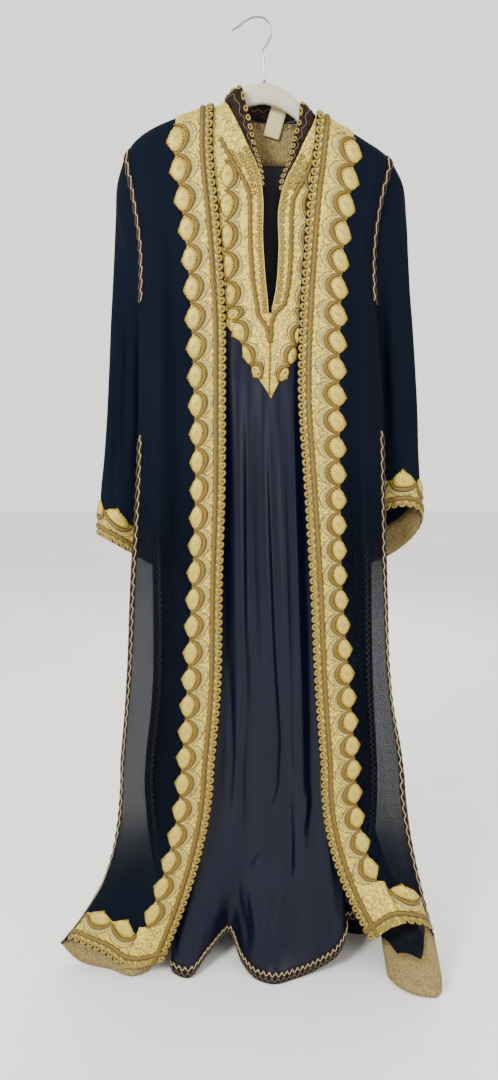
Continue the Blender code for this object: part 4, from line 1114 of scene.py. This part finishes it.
def weave(look, pitch):
    """Threads over and under each other: the height of a plain weave."""
    waves = [look.threads(look.surface(turn=turn), pitch, 0.4, 1.0) for turn in (0.0, math.pi / 2)]
    return look.sums("MULTIPLY", *waves)


def satin_look():
    look = Look("navy_satin", Roughness=0.27, Specular_IOR_Level=0.17)
    cloudy = look.noise(look.surface(), 6.0)
    streaks = look.noise(look.surface((900, 14, 1)), 1.0, 2.0)
    shade = look.ramp(cloudy, (0.3, (0.0011, 0.0016, 0.0070)), (0.7, (0.0019, 0.0027, 0.0110)))
    look.colour(look.blend(look.sums("MULTIPLY", streaks, 0.35), shade, (0.0030, 0.0042, 0.0160)))
    look.bump(look.sums("ADD", weave(look, 0.0009), look.sums("MULTIPLY", streaks, 1.6)), 0.00012, 0.35)
    return look.material


def chiffon_look(name, sheer):
    """Crepe chiffon. The robe's is sheer in the skirt, and close at the chest and the hem."""
    look = Look(name, Roughness=0.8, Specular_IOR_Level=0.05)
    cloudy = look.noise(look.surface(), 5.0)
    crepe = look.noise(look.surface((700, 160, 1)), 1.0, 2.0)
    shade = look.ramp(cloudy, (0.3, (0.0010, 0.0023, 0.0060)), (0.7, (0.0019, 0.0038, 0.0095)))
    look.colour(look.blend(look.sums("MULTIPLY", crepe, 0.3), shade, (0.0032, 0.0058, 0.0130)))
    look.bump(crepe, 0.00012, 0.35)
    if sheer:
        height = look.node("ShaderNodeSeparateXYZ", {0: look.surface(kind="Object")}).outputs[2]
        down = look.node(
            "ShaderNodeMapRange",
            {"Value": height, "From Min": -0.66, "From Max": -1.46, "To Min": 0.0, "To Max": 1.0},
        ).outputs[0]
        uneven = look.sums("ADD", down, look.sums("MULTIPLY", look.sums("SUBTRACT", cloudy, 0.5), 0.08))
        thin = (sheer, sheer, sheer)
        cover = look.ramp(
            uneven, (0.0, (0.96, 0.96, 0.96)), (0.22, thin), (0.72, thin), (0.92, (0.88, 0.88, 0.88))
        )
        look.links.new(cover, look.shader.inputs["Alpha"])
    return look.material


def couched_look(name, dark, light, scale, metallic=0.35, roughness=0.46, bump=0.0006):
    """Metal thread laid in small coils and caught down: bright loops, with painted shade darkening the
    ground between them.
    """
    look = Look(name, Roughness=roughness, Metallic=metallic)
    place = look.surface()
    coils = look.node(
        "ShaderNodeTexVoronoi", {"Vector": place, "Scale": scale, "Randomness": 0.85}, feature="SMOOTH_F1"
    ).outputs["Distance"]
    thread = look.noise(place, scale * 2.1, 2.0, 0.6)
    tone = look.noise(place, 38.0, 2.0)
    height = look.sums("SUBTRACT", look.sums("ADD", thread, 0.35), coils)
    # Painted shade: the colour follows the bump's height, dark in the hollows between the coils and light on
    # the loops
    shade = look.ramp(height, (0.30, dark), (0.62, light))
    paler = tuple(min(1.0, 1.2 * x + 0.02) for x in light)
    look.colour(look.blend(look.sums("MULTIPLY", tone, 0.55), shade, paler))
    look.bump(height, bump, 0.9)
    return look.material


def thread_look(name, dark, light, pitch=0.0011, metallic=0.3, roughness=0.45):
    """A cord or loop of twisted thread, with painted shade in the grooves between its turns."""
    look = Look(name, Roughness=roughness, Metallic=metallic)
    turns = look.threads(look.surface(turn=0.7), pitch, 1.5, 2.0)
    grain = look.noise(look.surface(kind="Object"), 900.0, 2.0)
    tone = look.noise(look.surface(kind="Object"), 45.0, 2.0)
    both = look.sums("ADD", look.sums("MULTIPLY", turns, 0.45), look.sums("MULTIPLY", grain, 0.55))
    # Painted shade: the colour follows the bump's height, darker in the grooves between the turns; the grain
    # adds a fine speckle
    shade = look.ramp(both, (0.25, dark), (0.62, light))
    look.colour(look.blend(look.sums("MULTIPLY", tone, 0.35), shade, dark))
    look.bump(both, 0.0004, 0.8)
    return look.material


def medallion_look():
    """Thread stitched in a fan from the medallion's heart to its rim, with painted shade between the
    stitches; the colour also darkens towards the rim.
    """
    look = Look("gold_medallion", Roughness=0.42, Metallic=0.35)
    place = look.surface()
    split = look.node("ShaderNodeSeparateXYZ", {0: place})
    turn = look.sums("ARCTAN2", split.outputs[0], split.outputs[1])
    rays = look.sums("SINE", look.sums("MULTIPLY", turn, 22.0), 0.0)
    rays = look.sums("MULTIPLY_ADD", rays, 0.5)
    grain = look.noise(place, 7.0, 3.0, 0.7)
    away = look.node("ShaderNodeVectorMath", {0: place}, operation="LENGTH").outputs["Value"]
    height = look.sums("ADD", look.sums("MULTIPLY", rays, 0.22), look.sums("MULTIPLY", grain, 0.9))
    # Painted shade: the colour follows the bump's height, darker between the stitches
    shade = look.ramp(height, (0.40, (0.085, 0.050, 0.004)), (0.66, (0.64, 0.485, 0.070)))
    rim = look.ramp(away, (0.55, (0.0, 0.0, 0.0)), (1.0, (1.0, 1.0, 1.0)))
    look.colour(look.blend(look.sums("MULTIPLY", rim, 0.55), shade, (0.24, 0.14, 0.010)))
    look.bump(height, 0.0007, 0.9)
    return look.material


def plain_look(name, low, high, roughness, metallic=0.0, scale=40.0, bump=0.0001, **values):
    """Moulded plastic, tape or wire: an even finish with a little variation and grain."""
    look = Look(name, Roughness=roughness, Metallic=metallic, **values)
    place = look.surface(kind="Object")
    look.colour(look.ramp(look.noise(place, scale, 4.0), (0.3, low), (0.7, high)))
    look.bump(look.noise(place, scale * 12, 3.0), bump, 0.4)
    return look.material


SATIN = satin_look()
CHIFFON = chiffon_look("navy_chiffon", 0.52)
LINED = chiffon_look("lined_navy_chiffon", 0.0)
GOLD = [
    couched_look("gold_field", (0.050, 0.028, 0.003), (0.64, 0.48, 0.062), 360.0, metallic=0.3),
    thread_look("ochre_cord", (0.040, 0.021, 0.001), (0.205, 0.122, 0.004)),
    thread_look("silver_wave", (0.13, 0.095, 0.030), (0.44, 0.36, 0.135), metallic=0.2),
    thread_look("grey_line", (0.05, 0.035, 0.016), (0.17, 0.125, 0.06)),
    medallion_look(),
    thread_look("cream_picot", (0.17, 0.11, 0.012), (0.72, 0.58, 0.135), metallic=0.2),
]
FIELD, OCHRE, SILVER, GREY, MEDALLION, PICOT = range(6)
REVERSE = couched_look(
    "gold_reverse", (0.050, 0.033, 0.009), (0.25, 0.18, 0.050), 420.0, metallic=0.15, roughness=0.7
)
DARK_SHADES = ((0.004, 0.0025, 0.002), (0.022, 0.012, 0.008))
BRAIDS = [
    plain_look("dark_braid", *DARK_SHADES, 0.85, scale=160.0, bump=0.0003, Specular_IOR_Level=0.1),
    thread_look("white_braid_cord", (0.20, 0.15, 0.08), (0.66, 0.54, 0.32), metallic=0.1),
    thread_look("grey_braid_cord", (0.035, 0.022, 0.013), (0.14, 0.095, 0.055), metallic=0.1),
    thread_look("collar_ring", (0.20, 0.13, 0.02), (0.68, 0.53, 0.15), metallic=0.2),
]
DARK, WHITE_CORD, GREY_CORD, RING = range(4)


def scalloped(q, valley, top, power=0.8):
    """A wave with a valley at each whole q."""
    return valley + (top - valley) * np.abs(np.sin(np.pi * q)) ** power


FIELD_EDGE = (0.80, 0.93)  # in shares of the band's width, at the valleys and under the medallions


def gold_border(maker, ribbon, first, last, field=True, phase=0.0):
    """The scalloped border of a gold band: field, silver wave, ochre crescents and pointed medallions."""
    q = np.linspace(first, last, int((last - first) * 12) + 1)
    wave = q - phase
    if field:
        strip(maker, ribbon, q, 0.07, scalloped(wave, *FIELD_EDGE), 0.0, BAND_WALL, FIELD, across=12)
    crescent = scalloped(wave, 0.83, 0.545, 0.62)
    low, high = crescent - 0.140, crescent - 0.070
    strip(maker, ribbon, q, low, high, BAND_WALL - 0.3 * MM, 0.9 * MM, SILVER, across=4)
    cord(maker, ribbon, q, crescent - 0.20, 0.6 * MM, GREY, sides=5, lift=BAND_WALL)
    radius = (2.2 + 1.5 * np.abs(np.sin(np.pi * wave))) * MM
    cord(maker, ribbon, q, crescent, radius, OCHRE, flatness=0.62, sink=0.35, lift=BAND_WALL)
    tips = np.arange(math.ceil(first - phase - 0.001), math.floor(last - phase + 0.001)) + 0.5 + phase
    if len(tips):
        scatter(maker, ribbon, medallion_shape(), tips, 0.788, MEDALLION, BAND_WALL * 0.8, in_scallops=True)
        heart = ring_shape(2.4 * MM, 0.7 * MM, 8, 4)
        scatter(maker, ribbon, heart, tips, 0.79, OCHRE, BAND_WALL + 2.6 * MM)


ROPE_TWIST = 11 * MM


def picot_edge(maker, ribbon, first=None, last=None):
    """The straight edge of a gold band: cream loops along it, and a twisted ochre cord inside them."""
    start = ribbon.q[0] if first is None else first
    end = ribbon.q[-1] if last is None else last
    count = int((ribbon.metres_at(end) - ribbon.metres_at(start)) / (2.5 * MM))
    q = np.linspace(start, end, max(count, 8))
    width = ribbon.width_at(q)
    inside, rim = BAND_WALL * 0.7, BAND_WALL * 0.8
    cord(maker, ribbon, q, 17.6 * MM / width, 3.5 * MM, OCHRE, 8, 0.65, twist=ROPE_TWIST, lift=inside)
    cord(maker, ribbon, q, 12.9 * MM / width, 0.9 * MM, GREY, sides=5, lift=rim)
    places = ribbon.spaced(PICOT_PITCH, start, end)
    picot = ring_shape(3.9 * MM, 2.2 * MM, 10)
    scatter(maker, ribbon, picot, places, 5.9 * MM / ribbon.width_at(places), PICOT, BAND_WALL * 0.9)


def hem_strip(surface, lines, width, q):
    """A ribbon of this width along the hem, over these lines."""
    high = surface.hem_row(lines, width)
    return Ribbon(surface, q, [(line, surface.rows) for line in lines], list(zip(lines, high)))


def reverse_strip(maker, ribbon, q, edge, gap=1.1 * MM):
    """The dull reverse of a band, inside the cloth."""
    strip(maker, ribbon, q, 0.0, edge, -LIFT - CHIFFON_WALL - gap, REVERSE_WALL, 0)


def robe_front_bands(name, surface, edge, band):
    """The gold down a robe's front edge and along its hem, with the reverse that shows inside the hem."""
    rows = surface.rows
    stations = range(rows + 1)
    front = Ribbon(surface, stations, [(edge, row) for row in stations], [(band, row) for row in stations])
    maker = new_maker()
    q = np.linspace(0, rows, rows * 12 + 1)
    top, bottom = BAND_SCALLOPS
    reach = np.where(q < top, FIELD_EDGE[0], np.where(q > bottom, 0.995, scalloped(q, *FIELD_EDGE)))
    strip(maker, front, q, 0.085, reach, 0.0, BAND_WALL, FIELD, across=12)
    gold_border(maker, front, top, bottom, field=False)
    picot_edge(maker, front)
    finish(f"robe_front_band_{name}_gold", maker, GOLD, [f"robe_front_band_{name}"])

    ends = (edge, HEM_BAND_LINES) if edge < band else (surface.lines - HEM_BAND_LINES, edge)
    lines = np.linspace(*ends, 40)
    q = running_length(surface.at(lines, float(rows))) / SCALLOP_PITCH * 1.05
    hem = hem_strip(surface, lines, HEM_BAND, q)
    maker = new_maker()
    corner = np.interp(band, lines, q)
    start, end = (corner, q[-1]) if edge < band else (0.0, corner)
    gold_border(maker, hem, start, end, phase=corner % 1)
    picot_edge(maker, hem)
    part = f"robe_front_hem_band_{name}"
    finish(f"{part}_gold", maker, GOLD, [part])

    maker = new_maker()
    for ribbon, first, last in ((hem, 0, q[-1]), (front, REVERSE_ROW, rows)):
        along = np.linspace(first, last, 70)
        reverse_strip(maker, ribbon, along, scalloped(along, 0.82, 0.95))
    finish(f"robe_front_reverse_{name}", maker, [REVERSE])


def robe_back_band(surface):
    """The gold along the hem of the robe's back, and its reverse inside."""
    places = np.linspace(0.03, surface.lines - 0.03, 260)
    length = running_length(surface.at(places, float(surface.rows)))
    scallops = round(length[-1] / BACK_SCALLOP_PITCH)
    ribbon = hem_strip(surface, places, HEM_BAND, length / length[-1] * scallops)
    maker = new_maker()
    gold_border(maker, ribbon, 0, scallops)
    picot_edge(maker, ribbon)
    finish("robe_back_hem_band_gold", maker, GOLD, ["robe_back_hem_band"])
    maker = new_maker()
    q = np.linspace(0, scallops, scallops * 8)
    reverse_strip(maker, ribbon, q, scalloped(q, 0.84, 0.97), 1.2 * MM)
    finish("robe_back_reverse", maker, [REVERSE])


def cuff(name, surface):
    """The gold round a cuff, and its reverse inside."""
    places = np.linspace(0, surface.lines, 85)
    ribbon = hem_strip(surface, places, CUFF_BAND, places / 2)
    maker = new_maker()
    gold_border(maker, ribbon, 0, surface.lines / 2)
    picot_edge(maker, ribbon)
    finish(f"robe_cuff_band_{name}_gold", maker, GOLD, [f"robe_cuff_band_{name}"])
    maker = new_maker()
    reverse_strip(maker, ribbon, np.linspace(0, surface.lines / 2, 60), 0.95)
    finish(f"robe_cuff_reverse_{name}", maker, [REVERSE])


def braid(maker, ribbon, pitch, swing):
    """A dark ribbon with two wavy cords, half a wave apart, and a small ring at each crest."""
    steps = max(int(ribbon.metres[-1] / (pitch / 10)), 12)
    q = np.interp(np.linspace(0, ribbon.metres[-1], steps + 1), ribbon.metres, ribbon.fine)
    strip(maker, ribbon, q, 0.0, 1.0, 0.0, BRAID_WALL, DARK, across=4)
    metres = ribbon.metres_at(q)
    for middle, look, shift in ((0.27, GREY_CORD, 0.0), (0.73, WHITE_CORD, math.pi)):
        wave = middle + swing * np.sin(2 * np.pi * metres / pitch + shift)
        cord(maker, ribbon, q, wave, 0.6 * MM, look, sides=5, lift=BRAID_WALL, sink=0.1)
        crests = np.arange(0.25 + (0.5 if shift else 0.0), metres[-1] / pitch, 1.0) * pitch
        if len(crests):
            at = np.interp(crests, ribbon.metres, ribbon.fine)
            ring = ring_shape(1.5 * MM, 0.6 * MM, 8, 4)
            scatter(maker, ribbon, ring, at, middle + swing, look, BRAID_WALL + 0.6 * MM)


def side_ribbon(surface, rows, last):
    inner = surface.side_line(rows, BRAID, last)
    edge = surface.lines if last else 0
    return Ribbon(surface, rows, [(edge, row) for row in rows], list(zip(inner, rows)))


def hem_ribbon(surface):
    lines = np.linspace(0.0, surface.lines, 160)
    return hem_strip(surface, lines, BRAID, lines)


def braid_piece(name, ribbons, node, pitch=19 * MM, swing=0.16):
    maker = new_maker()
    for ribbon in ribbons:
        braid(maker, ribbon, pitch, swing)
    finish(name, maker, BRAIDS, [node])


def yoke(front, slit_line, slit_row):
    """The gold plastron round the slit, its rings, cords and scalloped border."""
    places = np.linspace(slit_line - 3, slit_line + 4, 7 * 8 + 1)
    away = np.abs(places - slit_line - 0.5)
    z = [table_at(YOKE_EDGE, far, 1) for far in away]
    search = np.linspace(6, 16, 120)
    rows = np.array([
        np.interp(-height, -front.smooth(np.full(120, line), search)[:, 2], search)
        for line, height in zip(places, z)
    ])
    down = 70
    upper = int(down * 0.85)
    grid_rows = np.empty((down + 1, len(places)))
    for step in range(down + 1):
        if step <= upper:
            grid_rows[step] = slit_row * step / upper
        else:
            grid_rows[step] = slit_row + (rows - slit_row) * (step - upper) / (down - upper)
    top = LIFT + BAND_WALL
    spots = front.at(places[None, :], grid_rows, top)
    maker = new_grid(spots, spots[:, :, [0, 2]])
    across = len(places) - 1
    gone = [
        face
        for number, face in enumerate(maker.faces)
        if slit_line <= (places[number % across] + places[number % across + 1]) / 2 <= slit_line + 1
        and down - 1 - number // across < upper
    ]
    bmesh.ops.delete(maker, geom=gone, context="FACES")
    piece = finish("dress_yoke_gold", maker, GOLD, ["dress_yoke"], recalculate=False)
    add_wall(piece, BAND_WALL)

    maker = new_maker()
    for cord_route, line in ((YOKE_CORD_RIGHT, slit_line), (YOKE_CORD_LEFT, slit_line + 1)):
        spots = front.under(cord_route, line)
        slit_rows = np.minimum(spots[:, 1], slit_row)
        ribbon = Ribbon(front, range(len(spots)), [(line, row) for row in slit_rows], spots, base=top)
        smooth = np.linspace(0, len(spots) - 1, 260)
        cord(maker, ribbon, smooth, 1.0, 3.3 * MM, OCHRE, sides=8, twist=ROPE_TWIST, flatness=0.7)
        edge = np.linspace(1.6, len(spots) - 1.3, 160)
        cord(maker, ribbon, edge, 0.02, 1.0 * MM, PICOT, sides=5)
        rings = []
        for number in range(5):
            for q in ribbon.spaced(RING_PITCH, 0.6, len(spots) - 1.2):
                width = float(ribbon.width_at(q))
                far = (5.4 + number * 9.6) * MM
                if far < width - 6.5 * MM:
                    shift = 0.5 * RING_PITCH / float(ribbon.pitch_at(q)) * (number % 2)
                    rings.append((q + shift, far / width))
        q, w = np.array(rings).T
        scatter(maker, ribbon, ring_shape(3.1 * MM, 1.8 * MM, 8, 5), q, w, PICOT, 0.9 * MM)
    for border, line in ((YOKE_BORDER_RIGHT, slit_line - 1), (YOKE_BORDER_LEFT, slit_line + 2)):
        outer = front.under([one for one, _ in border], line)
        inner = front.under([one for _, one in border], line)
        ribbon = Ribbon(front, range(len(border)), inner, outer, base=LIFT)
        gold_border(maker, ribbon, 0, len(border) - 1, field=False)
    seam = front.under(YOKE_SEAM, slit_line + 0.5)
    ribbon = Ribbon(front, range(len(seam)), seam, seam + [0.1, 0], base=top)
    cord(maker, ribbon, np.linspace(0, 2, 40), 0.0, 1.1 * MM, OCHRE, sides=6, twist=6 * MM)
    finish("dress_yoke_embroidery", maker, GOLD)


def collar(front, back, slit_line):
    """A dark band that stands on the neckline, with a wavy cord down its middle and rings at its edge."""
    first, last = BACK_NECK
    tops, feet = [], []
    for kind, place, along, deep, high in COLLAR:
        if kind == "back":
            foot = back.at(mix(first, last, place), 0.0)
        else:
            foot = front.at(slit_line if kind == "right" else slit_line + 1, place)
        away = np.array((along, deep, high))
        start = foot + 0.3 * MM * away / np.linalg.norm(away)
        feet.append(tuple(start))
        tops.append(tuple(start + away))
    band = Cloth([tops, [tuple((np.array(a) + b) / 2) for a, b in zip(tops, feet)], feet], -1)
    stations = range(band.lines + 1)
    outer = Ribbon(band, stations, [(k, 2) for k in stations], [(k, 0) for k in stations], base=0.0)
    maker = new_maker()
    q = np.linspace(0, band.lines, 180)
    strip(maker, outer, q, 0.0, 1.0, -COLLAR_WALL, COLLAR_WALL, DARK, across=6)
    swing = np.minimum(2.2 * MM / outer.width_at(q), 0.16)
    wave = 0.5 + swing * np.sin(2 * np.pi * outer.metres_at(q) / (16 * MM))
    for lift in (0.0, -COLLAR_WALL - 0.9 * MM):
        cord(maker, outer, q[4:-4], wave[4:-4], 0.7 * MM, GREY_CORD, sides=5, lift=lift)
        places = outer.spaced(RING_PITCH, 0.3, band.lines - 0.3)
        shape = ring_shape(2.6 * MM, 1.3 * MM, 8, 4)
        scatter(maker, outer, shape, places, 1 - 2.2 * MM / outer.width_at(places), RING, lift + 0.6 * MM)
    finish("dress_collar_band", maker, BRAIDS, ["dress_collar"])


def back_yoke(back):
    """The reverse of the yoke behind the neck, with two rows of rings under the collar."""
    first, last = BACK_NECK
    q = np.linspace(0, 1, 40)
    low = [(mix(first, last, share), BACK_YOKE_ROWS) for share in q]
    high = [(mix(first, last, share), 0.6) for share in q]
    inside = -CAD_SATIN_WALL - LIFT
    ribbon = Ribbon(back, q, low, high, base=inside)
    maker = new_maker()
    strip(maker, ribbon, q, 0.0, 1.0, -BAND_WALL, BAND_WALL, 0, across=16)
    places = ribbon.spaced(RING_PITCH)
    for far in (4.5 * MM, 11.5 * MM):
        ring = ring_shape(2.6 * MM, 1.2 * MM, 8, 4)
        scatter(maker, ribbon, ring, places, 1 - far / ribbon.width_at(places), 1, -BAND_WALL - 0.8 * MM)
    rings = thread_look("reverse_ring", (0.14, 0.09, 0.035), (0.48, 0.36, 0.17), metallic=0.15)
    looks = [REVERSE, rings]
    finish("dress_back_yoke_reverse", maker, looks, ["dress_back_yoke"])


def label():
    """A blank woven label, sewn down by its top edge and bowed a little."""
    wide, tall = LABEL
    across, down = np.linspace(-0.5, 0.5, 9), np.linspace(-0.5, 0.5, 13)
    cosine, sine = math.cos(LABEL_TILT), math.sin(LABEL_TILT)
    tilt = np.array([[cosine, 0, sine], [0, 1, 0], [-sine, 0, cosine]])
    bow = 0.8 * MM * (1 - (2 * across[None, :]) ** 2) * (0.5 - down[:, None])
    places = np.stack(np.broadcast_arrays(across[None, :] * wide, -bow, -down[:, None] * tall), axis=-1)
    front = places @ tilt.T + LABEL_PLACE
    back = front[:, ::-2] + [0, 0.5 * MM, 0]
    maker = new_maker()
    add_tube(maker, np.concatenate([front, back, front[:, :1]], axis=1))
    finish("neck_label_tape", maker, [LABEL_TAPE], ["neck_label"])


def hanger():
    """The moulded bar, an oval that swells to its middle, and the wire hook with a rounded tip."""
    sides = 28
    keys = np.linspace(BAR[0][0], BAR[-1][0], 121)
    angle = np.linspace(0, 2 * np.pi, sides + 1)
    rings = []
    for x in keys:
        top_z, height = table_at(BAR, x, 1), table_at(BAR, x, 2)
        depth = BAR_DEPTH / 2 * min(1.0, height / 0.022)
        round_y = np.sign(np.sin(angle)) * np.abs(np.sin(angle)) ** 0.7
        z = top_z - height / 2 * (1 - np.cos(angle))
        rings.append(np.stack([np.full(sides + 1, x), -depth * round_y, z], axis=1))
    rings = np.array(rings)
    rings[:, -1] = rings[:, 0]
    maker = new_maker()
    add_tube(maker, rings)
    finish("hanger_bar_moulded", maker, [MOULDED], ["hanger_bar"])

    route = np.array([(x, 0.0, z) for x, z in HOOK])
    padded = np.concatenate([2 * route[:1] - route[1:2], route, 2 * route[-1:] - route[-2:-1]])
    shares = np.linspace(0, 1, 9)[:-1, None]
    spans = [curve(*(padded[k + m][None] for m in range(4)), shares) for k in range(len(route) - 1)]
    path = np.concatenate([*spans, route[-1:]])
    maker = new_maker()
    tube(maker, path, WIRE_RADIUS, 0, sides=14)
    collar_path = route[0] + np.array([(0, 0, 0.0), (0, 0, 0.0035)])
    tube(maker, collar_path, 3.0 * MM, 0, sides=14)
    ball = new_maker()
    bmesh.ops.create_uvsphere(ball, u_segments=14, v_segments=8, radius=1.9 * MM)
    bmesh.ops.translate(ball, vec=route[-1], verts=ball.verts)
    smooth_faces(ball)
    merge_into(maker, ball)
    finish("hanger_hook_wire", maker, [CHROME], ["hanger_hook"])


MOULDED = plain_look(
    "moulded_plastic", (0.36, 0.35, 0.255), (0.44, 0.425, 0.315), 0.42, scale=18.0, bump=0.00008
)
CHROME = plain_look("chromed_wire", (0.26, 0.26, 0.26), (0.36, 0.36, 0.36), 0.22, metallic=1.0, scale=60.0)
LABEL_TAPE = plain_look(
    "label_weave", (0.44, 0.37, 0.17), (0.52, 0.44, 0.21), 0.75, scale=300.0, bump=0.0002
)


def studio():
    """A plain pale floor, soft light from the front and the sides, and the camera."""
    low, high = cad_box
    maker = bmesh.new()
    bmesh.ops.create_grid(maker, x_segments=1, y_segments=1, size=7)
    bmesh.ops.translate(maker, vec=(0, 0, low.z - 0.6 * MM), verts=maker.verts)
    floor = mesh_piece("floor", maker)
    pale = plain_look("pale_floor", (0.80, 0.79, 0.765), (0.86, 0.85, 0.825), 0.6, scale=3.0)
    floor.data.materials.append(pale)

    world = bpy.data.worlds.new("studio")
    bpy.context.scene.world = world
    world.use_nodes = True
    background = world.node_tree.nodes["Background"]
    background.inputs["Color"].default_value = (0.93, 0.92, 0.885, 1)
    background.inputs["Strength"].default_value = 1.7
    for name, place, size, power in (
        ("key", (-1.5, -2.4, 0.7), 0.8, 135),
        ("fill", (1.9, -2.0, -0.3), 1.8, 30),
        ("back", (0.6, 2.4, 0.6), 2.0, 45),
    ):
        light = bpy.data.lights.new(name, "AREA")
        light.size = size
        light.energy = power
        lamp = put_in_scene(name, light)
        lamp.location = place
        lamp.rotation_euler = (Vector((0, 0, -0.7)) - Vector(place)).to_track_quat("-Z", "Y").to_euler()

    camera = bpy.data.cameras.new("camera")
    camera.lens = 30
    camera.sensor_width = 36
    camera.sensor_height = 36
    camera.sensor_fit = "VERTICAL"
    viewer = put_in_scene("camera", camera)
    viewer.location = (-0.0103, -1.45, -0.589)
    viewer.rotation_euler = (math.radians(82), 0, 0)
    bpy.context.scene.camera = viewer


def main():
    hanger()
    front, slit_row = dress_front()
    back = hanging_back(
        DRESS_BACK,
        DRESS_ROWS,
        DRESS_DROPS,
        (2, 4),
        (DRESS_X, DRESS_Y),
        DRESS_DROP,
        DRESS_NECK,
        DRESS_SWEEP_Z,
        DRESS_BACK_CREASES,
    )
    slit_line = len(DRESS_FRONT_RIGHT) - 1

    def in_slit(row, line):
        return slit_line <= line < slit_line + 1 and row < slit_row

    hung_cloth("dress_front_satin", front, (10, 6), SATIN, SATIN_WALL, ["dress_front"], in_slit)
    hung_cloth("dress_back_satin", back, (10, 6), SATIN, SATIN_WALL, ["dress_back"])
    yoke(front, slit_line, slit_row)
    back_yoke(back)
    collar(front, back, slit_line)
    label()
    for name, surface in (("front", front), ("back", back)):
        trim = f"dress_hem_trim_{name}"
        braid_piece(f"{trim}_braid", [hem_ribbon(surface)], trim, *NARROW_BRAID)
    rows = np.linspace(DRESS_ARMHOLE_ROWS, front.rows - 1, 60)
    for name, last in (("right", False), ("left", True)):
        trim = f"dress_side_trim_{name}"
        braid_piece(f"{trim}_braid", [side_ribbon(front, rows, last)], trim, *NARROW_BRAID)

    right = robe_front(FRONT_RIGHT, -1, ROBE_FRONT_RIGHT_CREASES)
    left = robe_front(FRONT_LEFT, 1, ROBE_FRONT_LEFT_CREASES)
    robe = hanging_back(
        BACK,
        ROBE_ROWS,
        ROBE_DROPS,
        (3, 6),
        (ROBE_X, ROBE_Y),
        0.0,
        ROBE_NECK,
        ROBE_SWEEP_Z,
        ROBE_BACK_CREASES,
    )
    for part, surface, fine in (
        ("robe_front_right", right, (14, 5)),
        ("robe_front_left", left, (14, 5)),
        ("robe_back", robe, (10, 5)),
    ):
        hung_cloth(f"{part}_chiffon", surface, fine, CHIFFON, CHIFFON_WALL, [part])
    robe_front_bands("right", right, right.lines, right.lines - 1)
    robe_front_bands("left", left, 0, 1)
    robe_back_band(robe)
    for name, panel, last, table, outward, creases in (
        ("right", right, False, SLEEVE_RIGHT, -1, SLEEVE_RIGHT_CREASES),
        ("left", left, True, SLEEVE_LEFT, 1, SLEEVE_LEFT_CREASES),
    ):
        arm = sleeve(panel, robe, table, last, outward, creases)
        part = f"robe_sleeve_{name}"
        hung_cloth(f"{part}_lined", arm, (6, 12), LINED, CHIFFON_WALL * 2, [part])
        cuff(name, arm)
        rows = np.linspace(0, ARMHOLE_ROWS, 50)
        ribbons = [side_ribbon(panel, rows, last), side_ribbon(robe, rows, last)]
        braid_piece(f"robe_armhole_trim_{name}_braid", ribbons, f"robe_armhole_trim_{name}")
        rows = np.linspace(SIDE_BRAID_ROW, panel.rows, 120)
        ribbon = side_ribbon(panel, rows, last)
        braid_piece(f"robe_side_trim_{name}_braid", [ribbon], f"robe_side_trim_{name}")
    studio()


main()
